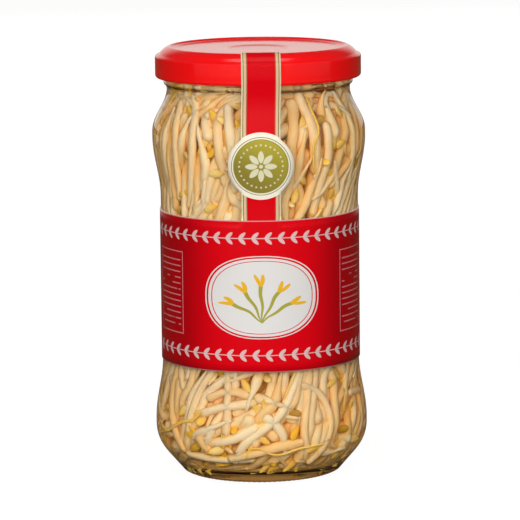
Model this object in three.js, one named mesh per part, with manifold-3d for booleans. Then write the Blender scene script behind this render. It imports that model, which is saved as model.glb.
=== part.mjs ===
// A sealed 370 ml glass jar of bean sprouts in brine, in millimetres. It stands on z = 0 with +Z up, its axis is
// the Z axis, and the front, where the label's tab runs up over the lid, faces -Y.
import * as THREE from "three";
import { mergeVertices } from "three/addons/utils/BufferGeometryUtils.js";
import Module from "manifold-3d";

const wasm = await Module();
wasm.setup();

// Round pieces share one number of sides, so that their flat facets line up
const SIDES = 32;
// Clearance between pieces that touch, and the closer one under paper that is glued on
const GAP = 0.3;
const GLUE_GAP = 0.1;

// Glass: radii of the outer wall, and the heights between which it changes
const BULGE_R = 34.5;
const WAIST_R = 32.05;
const NECK_R = 29.6;
const FOOT_R = 26.3;
const FOOT_Z = 1;
const HEEL_ARC_R = 13.2;
const HEEL_ARC_Z = 15.5;
const LOW_BULGE_TOP = 17;
const WAIST_BOTTOM = 37.5;
const WAIST_TOP = 90.5;
const HIGH_BULGE_BOTTOM = 110;
const HIGH_BULGE_TOP = 111.5;
const NECK_BOTTOM = 125.5;
const WALL = 2.3;
const CONTACT_RING = [22.6, 24.6];
const PUSH_UP = 2.2;
const FLOOR_Z = 4.6;
const MOUTH_R = 27;
const RIM_Z = 136.8;
const FINISH_R = 29.9;
const THREADS = { count: 4, z: 133.2, rise: 1.4, turn: 1.0, r: 1.1, out: 0.1 };

// Lid: a 63 mm twist-off closure
const LID_R = 33.3;
const LID_BOTTOM = 128.9;
const LID_SHOULDER = 136;
const LID_CREST = 138.95;
const LID_PANEL = 138.2;
const BUTTON_DEPTH = 0.35;
const STEEL = 0.45;
const LUGS = { count: 4, z: 129.9, turn: 0.3, r: 0.75, at: 31.45 };

// Paper label: one die-cut piece, a wrap with a tab that bears a round medallion
const PAPER = 0.25;
const WRAP_BOTTOM = 37.4;
const WRAP_TOP = 86.3;
const TAB_WIDTH = 13;
const MEDALLION = { r: 11.05, z: 104 };
const OVERLAP = 0.3;

// Brine: what shows of the liquid, as a film between the glass and the sprouts, open at the top
const BRINE_FILM = 0.8;
const BRINE_LEVEL = 128.3;

// Sprouts: one packed bunch, with a core that the outer ones stand out of
const SPROUTS_SEED = 20417;
const SPROUT_COUNT = 66;
const SPROUTS_INSET = WALL + BRINE_FILM + 2 * GAP;
const SPROUTS_TOP = 125.6;
const BUNCH_ENDS = [11.5, 120];
const CORE_SINK = 3.5;
const CORE_SIDES = 20;
const STEM_R = 1.5;
const STEM_LENGTH = [32, 50];
const STEM_SPACING = 2.8;
const SPREAD = [0.7549, 0.5698];
const STEM_DIVE = 4.5;

// The radius of the glass's outer wall at height z.
function wallRadius(z) {
  const ease = (from, to, low, high) =>
    from + (to - from) * 0.5 * (1 - Math.cos((Math.PI * (z - low)) / (high - low)));
  const heelSlope = 0.86;
  const heelArcStart = HEEL_ARC_Z - HEEL_ARC_R * Math.sin(Math.atan(heelSlope));
  if (z < heelArcStart) return FOOT_R + heelSlope * (z - FOOT_Z);
  if (z < HEEL_ARC_Z) {
    const down = HEEL_ARC_Z - z;
    return BULGE_R - HEEL_ARC_R + Math.sqrt(HEEL_ARC_R ** 2 - down ** 2);
  }
  if (z < LOW_BULGE_TOP) return BULGE_R;
  if (z < WAIST_BOTTOM) return ease(BULGE_R, WAIST_R, LOW_BULGE_TOP, WAIST_BOTTOM);
  if (z < WAIST_TOP) return WAIST_R;
  if (z < HIGH_BULGE_BOTTOM) return ease(WAIST_R, BULGE_R, WAIST_TOP, HIGH_BULGE_BOTTOM);
  if (z < HIGH_BULGE_TOP) return BULGE_R;
  if (z < NECK_BOTTOM) return ease(BULGE_R, NECK_R, HIGH_BULGE_TOP, NECK_BOTTOM);
  return NECK_R;
}

// Heights from low to high, both among them, in equal steps.
const steps = (low, high, count) =>
  Array.from({ length: count + 1 }, (_, i) => low + ((high - low) * i) / count);

// A closed ring or body turned about Z from [radius, height] points, with sides facing the front at -Y.
function turned(points, sides = SIDES) {
  const outline = [...points, points[0]].map(([r, z]) => new THREE.Vector2(r, z));
  return new THREE.LatheGeometry(outline, sides).rotateX(Math.PI / 2);
}

// A geometry as a solid for joining and cutting.
function solid(geometry) {
  const bare = geometry.clone();
  bare.deleteAttribute("normal");
  bare.deleteAttribute("uv");
  const merged = mergeVertices(bare, 1e-4);
  const made = new wasm.Manifold(
    new wasm.Mesh({
      numProp: 3,
      vertProperties: new Float32Array(merged.attributes.position.array),
      triVerts: new Uint32Array(merged.index.array),
    }),
  );
  if (made.volume() > 0) return made;
  const flipped = merged.index.array.slice().reverse();
  return new wasm.Manifold(
    new wasm.Mesh({
      numProp: 3,
      vertProperties: new Float32Array(merged.attributes.position.array),
      triVerts: new Uint32Array(flipped),
    }),
  );
}

// A solid as a named mesh. A scrap that a cut has set loose is dropped.
function meshOf(name, made, look) {
  const body = made.decompose().sort((a, b) => b.volume() - a.volume())[0];
  const { numProp, vertProperties, triVerts } = body.getMesh();
  const places = new Float32Array((vertProperties.length / numProp) * 3);
  for (let i = 0; i < places.length / 3; i++)
    places.set(vertProperties.subarray(i * numProp, i * numProp + 3), i * 3);
  const geometry = new THREE.BufferGeometry()
    .setAttribute("position", new THREE.BufferAttribute(places, 3))
    .setIndex(new THREE.BufferAttribute(triVerts, 1));
  geometry.computeVertexNormals();
  const mesh = new THREE.Mesh(geometry, new THREE.MeshStandardMaterial(look));
  mesh.name = name;
  return mesh;
}

// A closed round rod bent along a curve, with its radius given along it from 0 to 1.
function bentRod(curve, radiusAt, sides, rings) {
  const rod = new THREE.CylinderGeometry(1, 1, 1, sides, rings);
  const { normals, binormals } = curve.computeFrenetFrames(rings);
  const centres = curve.getSpacedPoints(rings);
  const place = rod.attributes.position;
  const vertex = new THREE.Vector3();
  for (let i = 0; i < place.count; i++) {
    vertex.fromBufferAttribute(place, i);
    const ring = Math.round((vertex.y + 0.5) * rings);
    const radius = radiusAt(ring / rings);
    const moved = centres[ring]
      .clone()
      .addScaledVector(normals[ring], vertex.x * radius)
      .addScaledVector(binormals[ring], vertex.z * radius);
    place.setXYZ(i, moved.x, moved.y, moved.z);
  }
  return rod;
}

// A point at an angle round the jar from its front, at a radius and a height.
const around = (angle, r, z) => new THREE.Vector3(r * Math.sin(angle), -r * Math.cos(angle), z);

// An arc that climbs as it turns round the jar, centred at an angle.
const helix = (middle, turn, r, z, rise) =>
  new THREE.CatmullRomCurve3(steps(-0.5, 0.5, 6).map((t) => around(middle + turn * t, r, z + rise * t)));

// The glass's inner wall, or a surface further in, from the middle of its floor up to a height.
function insideOutline(inset, top, mouth = MOUTH_R - (inset - WALL)) {
  const floor = FLOOR_Z + (inset - WALL);
  const wall = (z) => [wallRadius(z) - inset, z];
  const heel = new THREE.CubicBezierCurve(
    new THREE.Vector2(19.5, floor),
    new THREE.Vector2(25.5, floor),
    new THREE.Vector2(28.4 - (inset - WALL), floor + 1.6),
    new THREE.Vector2(...wall(floor + 5.4)),
  );
  return [
    [0, floor + 0.5],
    ...heel.getPoints(3).map((p) => [p.x, p.y]),
    wall(LOW_BULGE_TOP),
    ...steps(LOW_BULGE_TOP, WAIST_BOTTOM, 3).slice(1).map(wall),
    ...steps(WAIST_TOP, HIGH_BULGE_BOTTOM, 3).map(wall),
    ...steps(HIGH_BULGE_TOP, NECK_BOTTOM, 4).slice(0, 3).map(wall),
    [mouth, NECK_BOTTOM - 0.5],
    [mouth, top],
  ];
}

function glassJar() {
  const wall = (z) => [wallRadius(z), z];
  const outside = [
    [0, PUSH_UP + 0.4],
    [20.4, PUSH_UP - 0.5],
    [CONTACT_RING[0], 0],
    [CONTACT_RING[1], 0],
    [25.6, 0.3],
    wall(FOOT_Z),
    ...steps(7, HEEL_ARC_Z, 3).map(wall),
    ...steps(LOW_BULGE_TOP, WAIST_BOTTOM, 4).map(wall),
    ...steps(WAIST_TOP, HIGH_BULGE_BOTTOM, 4).map(wall),
    ...steps(HIGH_BULGE_TOP, NECK_BOTTOM, 5).map(wall),
    [30.3, 126.4],
    [30.6, 127.4],
    [30.3, 128.2],
    [FINISH_R, 128.7],
    [FINISH_R, RIM_Z - 1.1],
    [29.3, RIM_Z - 0.2],
    [28.5, RIM_Z],
  ];
  const inside = insideOutline(WALL, RIM_Z - 0.7);
  let glass = solid(turned([...outside, [MOUTH_R + 0.6, RIM_Z], ...inside.reverse()]));
  for (let i = 0; i < THREADS.count; i++) {
    const middle = (2 * Math.PI * (i + 0.5)) / THREADS.count;
    const line = helix(middle, THREADS.turn, FINISH_R + THREADS.out, THREADS.z, THREADS.rise);
    const ends = (t) => THREADS.r * Math.min(1, 0.45 + 4 * Math.min(t, 1 - t));
    glass = glass.add(solid(bentRod(line, ends, 6, 6)));
  }
  return meshOf("glass_jar", glass, { color: 0xdfe8e2, roughness: 0.05, transparent: true, opacity: 0.35 });
}

// The lid's outer face from the middle of its panel to the hem, as [radius, height] points.
const LID_OUTSIDE = [
  [0, LID_PANEL - BUTTON_DEPTH],
  [8.6, LID_PANEL - BUTTON_DEPTH],
  [10, LID_PANEL],
  [27.2, LID_PANEL],
  [27.9, LID_CREST - 0.25],
  [28.7, LID_CREST],
  [29.6, LID_CREST - 0.15],
  [30.6, LID_CREST - 0.7],
  [32, LID_SHOULDER + 1.25],
  [32.9, LID_SHOULDER + 0.55],
  [33.2, LID_SHOULDER + 0.2],
  [LID_R, LID_SHOULDER - 0.2],
  [LID_R, LID_BOTTOM + 0.9],
  [LID_R - 0.25, LID_BOTTOM + 0.2],
  [LID_R - 0.8, LID_BOTTOM],
];

function lid() {
  const hem = [
    [LID_R - 1.35, LID_BOTTOM + 0.25],
    [LID_R - 1.5, LID_BOTTOM + 0.8],
    [LID_R - 1.1, LID_BOTTOM + 1.3],
  ];
  const inside = [
    [LID_R - STEEL, LID_BOTTOM + 1.8],
    [LID_R - STEEL, LID_SHOULDER - 0.3],
    [32.6, LID_SHOULDER + 0.2],
    [30.3, LID_CREST - 0.6 - STEEL],
    [29.4, LID_CREST - 0.15 - STEEL],
    [28.7, LID_CREST - STEEL],
    [28.1, LID_CREST - 0.3 - STEEL],
    [27.4, LID_PANEL - STEEL],
    [9.8, LID_PANEL - STEEL],
    [8.4, LID_PANEL - BUTTON_DEPTH - STEEL],
    [0, LID_PANEL - BUTTON_DEPTH - STEEL],
  ];
  let shell = solid(turned([...LID_OUTSIDE, ...hem, ...inside]));
  for (let i = 0; i < LUGS.count; i++) {
    const line = helix((2 * Math.PI * i) / LUGS.count, LUGS.turn, LUGS.at, LUGS.z, 0);
    const ends = (t) => LUGS.r * Math.min(1, 0.5 + 4 * Math.min(t, 1 - t));
    shell = shell.add(solid(bentRod(line, ends, 6, 4)));
  }
  return meshOf("lid", shell, { color: 0xd8101c, roughness: 0.28, metalness: 0.1 });
}

function lidGasket() {
  const section = [
    [26.9, RIM_Z + GAP],
    [29.7, RIM_Z + GAP],
    [29.5, RIM_Z + GAP + 0.45],
    [28.3, RIM_Z + GAP + 0.75],
    [27.6, RIM_Z + GAP + 0.35],
    [26.9, RIM_Z + GAP + 0.3],
  ];
  return meshOf("lid_gasket", solid(turned(section)), { color: 0xe9e4d8, roughness: 0.6 });
}

// The line that the tab's back follows, from inside the wrap up the glass, across the neck and over the lid's edge.
const TAB_LINE = [
  [WAIST_R, WRAP_TOP - 1],
  [WAIST_R, WAIST_TOP],
  ...steps(WAIST_TOP, HIGH_BULGE_BOTTOM, 4).slice(1).map((z) => [wallRadius(z), z]),
  [BULGE_R, HIGH_BULGE_TOP],
  [wallRadius(114.3), 114.3],
  [33.4, 117.2],
  [32.7, 121],
  [32.6, 125],
  [33, 128],
  [LID_R, LID_BOTTOM + 0.9],
  ...LID_OUTSIDE.slice(5, 12).reverse(),
];

// The points of a [radius, height] line, each moved out square to it.
function movedOut(line, out) {
  return line.map(([r, z], i) => {
    const [r0, z0] = line[Math.max(i - 1, 0)];
    const [r1, z1] = line[Math.min(i + 1, line.length - 1)];
    const length = Math.hypot(r1 - r0, z1 - z0);
    return [r + (out * (z1 - z0)) / length, z - (out * (r1 - r0)) / length];
  });
}

function label() {
  const back = WAIST_R + GLUE_GAP;
  const wrap = solid(
    turned([
      [back, WRAP_BOTTOM],
      [back + PAPER, WRAP_BOTTOM],
      [back + PAPER, WRAP_TOP],
      [back, WRAP_TOP],
    ]),
  );
  // At the rear the wrap's end laps over its start.
  const lap = new THREE.BoxGeometry(2 * BULGE_R * OVERLAP, BULGE_R, WRAP_TOP - WRAP_BOTTOM);
  lap.translate(0, BULGE_R, (WRAP_TOP + WRAP_BOTTOM) / 2);
  const secondLayer = turned([
    [back + PAPER / 2, WRAP_BOTTOM],
    [back + 2 * PAPER, WRAP_BOTTOM],
    [back + 2 * PAPER, WRAP_TOP],
    [back + PAPER / 2, WRAP_TOP],
  ]);
  // The tab and its medallion are cut out of a turned sheet by an upright die.
  const sheet = turned([
    ...movedOut(TAB_LINE, GLUE_GAP),
    ...movedOut(TAB_LINE, GLUE_GAP + PAPER).reverse(),
  ]);
  const dieOf = (shape) =>
    solid(
      new THREE.ExtrudeGeometry(shape, { depth: 2 * BULGE_R, bevelEnabled: false, curveSegments: 14 }).rotateX(
        Math.PI / 2,
      ),
    );
  const strip = new THREE.Shape()
    .moveTo(-TAB_WIDTH / 2, WRAP_TOP - 2)
    .lineTo(TAB_WIDTH / 2, WRAP_TOP - 2)
    .lineTo(TAB_WIDTH / 2, LID_CREST + 2)
    .lineTo(-TAB_WIDTH / 2, LID_CREST + 2);
  const disc = new THREE.Shape().absarc(0, MEDALLION.z, MEDALLION.r, 0, 2 * Math.PI);
  const tab = solid(sheet).intersect(dieOf(strip).add(dieOf(disc)));
  const paper = wrap.add(solid(secondLayer).intersect(solid(lap))).add(tab);
  return meshOf("label", paper, { color: 0xd0021b, roughness: 0.45 });
}

function brine() {
  const outside = insideOutline(WALL + GAP, BRINE_LEVEL);
  const inside = insideOutline(WALL + GAP + BRINE_FILM, BRINE_LEVEL);
  const film = solid(turned([...outside, ...inside.reverse()]));
  return meshOf("brine", film, { color: 0xd9b36c, roughness: 0.05, transparent: true, opacity: 0.5 });
}

// Numbers from 0 to 1 that come out alike on each run.
function seeded(seed) {
  let state = seed;
  return () => {
    state = (Math.imul(state, 1664525) + 1013904223) >>> 0;
    return state / 2 ** 32;
  };
}

// The two bean halves at the start of a sprout's line, spread apart a little.
function beanHalves(curve, scale, spread) {
  const start = curve.getPoint(0);
  const ahead = curve.getTangent(0).negate();
  const side = new THREE.Vector3(start.x, start.y, 0).normalize().cross(ahead).normalize();
  return [1, -1].map((sign) => {
    const half = new THREE.IcosahedronGeometry(1, 0).scale(1.2 * scale, 2.8 * scale, 1.5 * scale);
    const along = ahead.clone().addScaledVector(side, sign * spread).normalize();
    half.applyQuaternion(new THREE.Quaternion().setFromUnitVectors(new THREE.Vector3(0, 1, 0), along));
    const middle = start.clone().addScaledVector(ahead, 1.6).addScaledVector(side, sign * spread);
    return solid(half.translate(middle.x, middle.y, middle.z));
  });
}

// The largest radius at height z that the bunch may reach.
const bunchReach = (z) =>
  Math.min(wallRadius(z) - SPROUTS_INSET, MOUTH_R + WALL - SPROUTS_INSET + 0.3 * Math.max(0, NECK_BOTTOM - z));

// Points of a sprout's line as it lies over the inside of the jar. Its far end sinks into the core, and so does its
// near end when no bean halves show there.
function lyingLine(random, index, beanShows) {
  const [low, high] = BUNCH_ENDS;
  const length = STEM_LENGTH[0] + (STEM_LENGTH[1] - STEM_LENGTH[0]) * random();
  // Two steps that never fall in line spread the sprouts evenly round the jar and up it.
  const angle = 2 * Math.PI * ((index * SPREAD[0]) % 1);
  const wanted = low + (high - low) * ((index * SPREAD[1]) % 1);
  // Upright near the shoulder, and every way near the bottom
  const lean = (2 * random() - 1) * (1.45 - 1.15 * ((wanted - low) / (high - low)));
  const up = random() < 0.5 ? 1 : -1;
  const rise = (length / 2) * Math.cos(lean);
  const middle = Math.min(Math.max(wanted, low + rise), high - rise);
  const bend = random() - 0.5;
  return steps(-0.5, 0.5, 5).map((t, i) => {
    const across = length * (t * Math.sin(lean) + bend * t * t * Math.cos(lean));
    const z = Math.min(Math.max(middle + up * length * (t * Math.cos(lean) - bend * t * t * Math.sin(lean)), low), high);
    const sunk = i === 5 || (i === 0 && !beanShows);
    const r = bunchReach(z) - 1.1 * STEM_R;
    return around(angle + across / r, r - (sunk ? STEM_DIVE : 0), z);
  });
}

function sprouts() {
  const random = seeded(SPROUTS_SEED);
  const coreTop = SPROUTS_TOP - 1;
  const core = [...insideOutline(SPROUTS_INSET + CORE_SINK, coreTop), [0, coreTop + 0.8]];
  const pieces = [solid(turned(core, CORE_SIDES))];
  const placed = [];
  for (let index = 0, count = 0; index < 20000 && count < SPROUT_COUNT; index++) {
    const beanShows = count % 4 === 0;
    const line = new THREE.CatmullRomCurve3(lyingLine(random, index, beanShows));
    const along = line.getPoints(20);
    if (along.some((p) => placed.some((q) => p.distanceTo(q) < STEM_SPACING))) continue;
    placed.push(...along);
    const scale = 0.9 + 0.15 * random();
    const taper = (t) => STEM_R * scale * (t < 0.7 ? 1 - 0.15 * t : 0.9 - 2 * (t - 0.7));
    pieces.push(solid(bentRod(line, taper, 5, 5)));
    if (beanShows) pieces.push(...beanHalves(line, scale, 0.3 + 0.5 * random()));
    count++;
  }
  const room = solid(turned([...insideOutline(SPROUTS_INSET, SPROUTS_TOP), [0, SPROUTS_TOP]]));
  const bunch = wasm.Manifold.union(pieces).intersect(room);
  return meshOf("sprouts", bunch, { color: 0xe9d9b4, roughness: 0.5 });
}

const jar = new THREE.Group();
jar.add(glassJar(), lid(), lidGasket(), label(), brine(), sprouts());

export default jar;
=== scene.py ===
"""A sealed glass jar of bean sprouts in brine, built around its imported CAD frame, in metres.

The jar has a waist, a red twist-off lid and a red paper label, whose tab runs up over the lid's edge. The sprouts
are packed into the jar by a seeded relaxation, and geometry nodes turn their lines into stems and bean halves.
"""

import logging
import math
from collections.abc import Callable, Sequence
from dataclasses import dataclass, field
from enum import Enum

import bpy
import numpy as np
from mathutils import Matrix, Quaternion, Vector


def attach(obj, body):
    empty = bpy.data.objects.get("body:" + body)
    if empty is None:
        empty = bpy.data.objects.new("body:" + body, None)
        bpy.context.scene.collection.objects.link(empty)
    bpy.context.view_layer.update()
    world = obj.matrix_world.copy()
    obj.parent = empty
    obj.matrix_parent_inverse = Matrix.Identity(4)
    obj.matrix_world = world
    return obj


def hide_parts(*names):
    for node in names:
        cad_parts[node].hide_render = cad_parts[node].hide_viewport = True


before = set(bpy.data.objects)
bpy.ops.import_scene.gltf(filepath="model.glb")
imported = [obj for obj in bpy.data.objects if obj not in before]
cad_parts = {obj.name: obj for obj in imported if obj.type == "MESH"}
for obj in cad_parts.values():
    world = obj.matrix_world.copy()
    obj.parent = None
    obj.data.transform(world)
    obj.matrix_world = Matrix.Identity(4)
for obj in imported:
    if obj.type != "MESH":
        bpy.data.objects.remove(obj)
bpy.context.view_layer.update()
LOG = logging.getLogger("jar")
MM = 0.001
BODY = "root"

Point = tuple[float, float]
Socket = bpy.types.NodeSocket


class Graph:
    """A node tree under construction, with short calls for what the finishes and makers add most."""

    def __init__(self, tree: bpy.types.NodeTree) -> None:
        """Keep the tree to build in.

        Args:
            tree: the node tree of a material, a world, a light or a group.
        """
        self.tree = tree

    def feed(self, socket: Socket, value: object) -> None:
        """Link a socket to another, or set its own value.

        Args:
            socket: the input to fill.
            value: an output socket to link from, or a plain value.
        """
        if isinstance(value, bpy.types.NodeSocket):
            self.tree.links.new(value, socket)
        else:
            socket.default_value = value

    def add(self, kind: str, inputs: dict | None = None, **props: object) -> bpy.types.Node:
        """Add a node.

        Args:
            kind: the node's type name.
            inputs: input name or index to a value or an output socket.
            **props: the node's own settings.

        Returns:
            The new node.
        """
        node = self.tree.nodes.new(kind)
        for name, value in props.items():
            setattr(node, name, value)
        for key, value in (inputs or {}).items():
            self.feed(node.inputs[key], value)
        return node

    def math(self, operation: str, *values: object, clamp: bool = False) -> Socket:
        """Add a Math node.

        Args:
            operation: such as "MULTIPLY".
            *values: its inputs in order.
            clamp: keep the result between 0 and 1.

        Returns:
            The node's output.
        """
        return self.add("ShaderNodeMath", dict(enumerate(values)), operation=operation, use_clamp=clamp).outputs[0]

    def vector(self, operation: str, *values: object) -> Socket:
        """Add a Vector Math node.

        Args:
            operation: such as "SUBTRACT" or "LENGTH".
            *values: its inputs in order.

        Returns:
            The vector output, or the number where the operation gives one.
        """
        node = self.add("ShaderNodeVectorMath", dict(enumerate(values)), operation=operation)
        return node.outputs[1 if operation in ("LENGTH", "DISTANCE", "DOT_PRODUCT") else 0]

    def mix(self, factor: object, a: object, b: object, blend: str = "MIX") -> Socket:
        """Add a colour mix.

        Args:
            factor: how much of b shows.
            a: the colour at 0.
            b: the colour at 1.
            blend: how b goes over a.

        Returns:
            The mixed colour.
        """
        node = self.add("ShaderNodeMix", {0: factor, 6: a, 7: b}, data_type="RGBA", blend_type=blend)
        return node.outputs[2]

    def step(self, value: object, low: float, high: float, out: Point = (0.0, 1.0)) -> Socket:
        """Add a smooth change from one number to another as a value passes from low to high.

        Args:
            value: the number to read.
            low: where the change starts.
            high: where it ends.
            out: the numbers before and after it.

        Returns:
            The changed number.
        """
        names = {0: value, 1: low, 2: high, 3: out[0], 4: out[1]}
        return self.add("ShaderNodeMapRange", names, interpolation_type="SMOOTHSTEP").outputs[0]

    def noise(self, vector: object, scale: float, detail: float = 2.0, rough: float = 0.5) -> Socket:
        """Add a noise texture.

        Args:
            vector: where to read it.
            scale: its size, in cells to a unit.
            detail: how many finer layers it has.
            rough: how strong they are.

        Returns:
            The noise from 0 to 1.
        """
        names = {"Vector": vector, "Scale": scale, "Detail": detail, "Roughness": rough}
        return self.add("ShaderNodeTexNoise", names).outputs[0]

    def attribute(self, name: str, output: str = "Fac") -> Socket:
        """Read an attribute of the piece.

        Args:
            name: the attribute.
            output: which output of the node to give.

        Returns:
            The attribute's value.
        """
        return self.add("ShaderNodeAttribute", attribute_name=name).outputs[output]


def group(name: str, inputs: dict[str, float | tuple | None], outputs: dict[str, str]) -> tuple:
    """Start a shader node group.

    Args:
        name: the group's name.
        inputs: input names with their defaults; a tuple of three makes a vector.
        outputs: output names with their socket types.

    Returns:
        The tree, a graph in it, its input node and its output node.
    """
    tree = bpy.data.node_groups.new(name, "ShaderNodeTree")
    for label, default in inputs.items():
        kind = "NodeSocketVector" if isinstance(default, tuple) else "NodeSocketFloat"
        socket = tree.interface.new_socket(label, in_out="INPUT", socket_type=kind)
        socket.default_value = default
    for label, kind in outputs.items():
        tree.interface.new_socket(label, in_out="OUTPUT", socket_type=kind)
    graph = Graph(tree)
    return tree, graph, graph.add("NodeGroupInput"), graph.add("NodeGroupOutput")


def mottle_group() -> bpy.types.NodeTree:
    """Make the group for soft, uneven tone and its fine height, which most of the finishes use.

    Returns:
        The group, whose Tone is about 1 and whose Height is from 0 to 1.
    """
    defaults = {"Scale": 100.0, "Depth": 0.1, "Grain": 1200.0}
    tree, graph, given, out = group("uneven tone", defaults, {"Tone": "NodeSocketFloat", "Height": "NodeSocketFloat"})
    where = graph.add("ShaderNodeTexCoord").outputs["Object"]
    broad = graph.noise(where, given.outputs["Scale"], 3)
    swing = graph.math("MULTIPLY", graph.math("SUBTRACT", broad, 0.5), given.outputs["Depth"])
    graph.feed(out.inputs["Tone"], graph.math("MULTIPLY_ADD", swing, 2.0, 1.0))
    graph.feed(out.inputs["Height"], graph.noise(where, given.outputs["Grain"], 2))
    return tree


def sprout_mark_group() -> bpy.types.NodeTree:
    """Make the group that draws one printed sprout: a wavy stem that thins to its root, under two bean halves.

    Returns:
        The group, with a mask for the stem and one for the halves.
    """
    defaults = {"Place": (0.0, 0.0, 0.0), "Root": (0.0, 0.0, 0.0), "Turn": 0.0, "Bend": 0.02, "Length": 12.0}
    masks = {"Stem": "NodeSocketFloat", "Halves": "NodeSocketFloat"}
    tree, graph, given, out = group("printed sprout", defaults, masks)
    moved = graph.vector("SUBTRACT", given.outputs["Place"], given.outputs["Root"])
    turned = graph.add("ShaderNodeVectorRotate", {"Vector": moved}, rotation_type="Z_AXIS")
    graph.feed(turned.inputs["Angle"], graph.math("MULTIPLY", given.outputs["Turn"], -1.0))
    parts = graph.add("ShaderNodeSeparateXYZ", {0: turned.outputs[0]})
    along, length = parts.outputs[0], given.outputs["Length"]
    bow = graph.math("MULTIPLY", graph.math("MULTIPLY", along, along), given.outputs["Bend"])
    wave = graph.math("MULTIPLY_ADD", graph.math("SINE", graph.math("MULTIPLY", along, 0.85)), 0.22, bow)
    off = graph.math("ABSOLUTE", graph.math("SUBTRACT", parts.outputs[1], wave))
    share = graph.math("DIVIDE", along, length, clamp=True)
    width = graph.math("MULTIPLY_ADD", graph.math("POWER", share, 0.7), 0.58, 0.1)
    beside = graph.step(graph.math("SUBTRACT", off, width), -0.05, 0.05, (1.0, 0.0))
    middle = graph.math("MULTIPLY", length, 0.5)
    beyond = graph.math("SUBTRACT", graph.math("ABSOLUTE", graph.math("SUBTRACT", along, middle)), middle)
    graph.feed(out.inputs["Stem"], graph.math("MULTIPLY", beside, graph.step(beyond, -0.05, 0.05, (1.0, 0.0))))
    ahead = graph.math("SUBTRACT", graph.math("SUBTRACT", along, length), 1.3)
    aside = graph.math("MULTIPLY_ADD", ahead, -0.3, graph.math("SUBTRACT", off, 0.78))
    spot = {0: graph.math("DIVIDE", ahead, 1.95), 1: graph.math("DIVIDE", aside, 0.68)}
    reach = graph.vector("LENGTH", graph.add("ShaderNodeCombineXYZ", spot).outputs[0])
    graph.feed(out.inputs["Halves"], graph.step(reach, 0.93, 1.07, (1.0, 0.0)))
    return tree


class Groups:
    """The shader node groups that the materials share, each built once."""

    mottle: bpy.types.NodeTree
    sprout_mark: bpy.types.NodeTree

    @classmethod
    def build(cls) -> None:
        """Build them all."""
        cls.mottle = mottle_group()
        cls.sprout_mark = sprout_mark_group()


def new_material(name: str) -> tuple[bpy.types.Material, Graph, bpy.types.Node]:
    """Start a material with only its output.

    Args:
        name: the material's name.

    Returns:
        The material, a graph in its tree and the output node.
    """
    material = bpy.data.materials.new(name)
    material.use_nodes = True
    material.node_tree.nodes.clear()
    graph = Graph(material.node_tree)
    return material, graph, graph.add("ShaderNodeOutputMaterial")


def clear_to_lamps(graph: Graph, shader: Socket, out: bpy.types.Node, tint: tuple) -> None:
    """Let light shine straight through a clear material, so that it reaches what is inside.

    Args:
        graph: the material's graph.
        shader: its glass shader.
        out: its output node.
        tint: what colour the light that goes through keeps.
    """
    path = graph.add("ShaderNodeLightPath")
    open_way = graph.add("ShaderNodeBsdfTransparent")
    graph.feed(open_way.inputs["Color"], (*tint, 1))
    for kind in ("Is Diffuse Ray", "Is Shadow Ray"):
        mixed = graph.add("ShaderNodeMixShader", {0: path.outputs[kind], 1: shader, 2: open_way.outputs[0]})
        shader = mixed.outputs[0]
    graph.feed(out.inputs["Surface"], shader)


@dataclass(frozen=True)
class GlassFinish:
    """Clear moulded soda glass, a touch green, with a faint ripple."""

    name: str = "jar_glass"
    tint: tuple = (0.965, 0.985, 0.965)
    ripple: float = 0.00006

    def build(self) -> bpy.types.Material:
        """Make the material.

        Returns:
            The new material.
        """
        material, graph, out = new_material(self.name)
        tone = graph.add("ShaderNodeGroup", node_tree=Groups.mottle)
        tone.inputs["Scale"].default_value = 70
        tone.inputs["Grain"].default_value = 55
        bump = graph.add("ShaderNodeBump", {"Height": tone.outputs["Height"], "Distance": self.ripple, "Strength": 1.0})
        glass = graph.add("ShaderNodeBsdfPrincipled")
        graph.feed(glass.inputs["Base Color"], (*self.tint, 1))
        graph.feed(glass.inputs["Roughness"], 0.0)
        graph.feed(glass.inputs["IOR"], 1.5)
        graph.feed(glass.inputs["Transmission Weight"], 1.0)
        graph.feed(glass.inputs["Normal"], bump.outputs[0])
        clear_to_lamps(graph, glass.outputs[0], out, (0.98, 0.99, 0.98))
        return material


@dataclass(frozen=True)
class BrineFinish:
    """Weak brine, steeped to a pale amber that deepens with what light goes through."""

    name: str = "brine"
    kept: tuple = (0.993, 0.7, 0.08)
    density: float = 140.0

    def build(self) -> bpy.types.Material:
        """Make the material.

        Returns:
            The new material.
        """
        material, graph, out = new_material(self.name)
        liquid = graph.add("ShaderNodeBsdfPrincipled")
        graph.feed(liquid.inputs["Base Color"], (1, 1, 1, 1))
        graph.feed(liquid.inputs["Roughness"], 0.0)
        graph.feed(liquid.inputs["IOR"], 1.34)
        graph.feed(liquid.inputs["Transmission Weight"], 1.0)
        clear_to_lamps(graph, liquid.outputs[0], out, (1, 1, 1))
        steep = graph.add("ShaderNodeVolumeAbsorption", {"Color": (*self.kept, 1), "Density": self.density})
        graph.feed(out.inputs["Volume"], steep.outputs[0])
        return material


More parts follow.
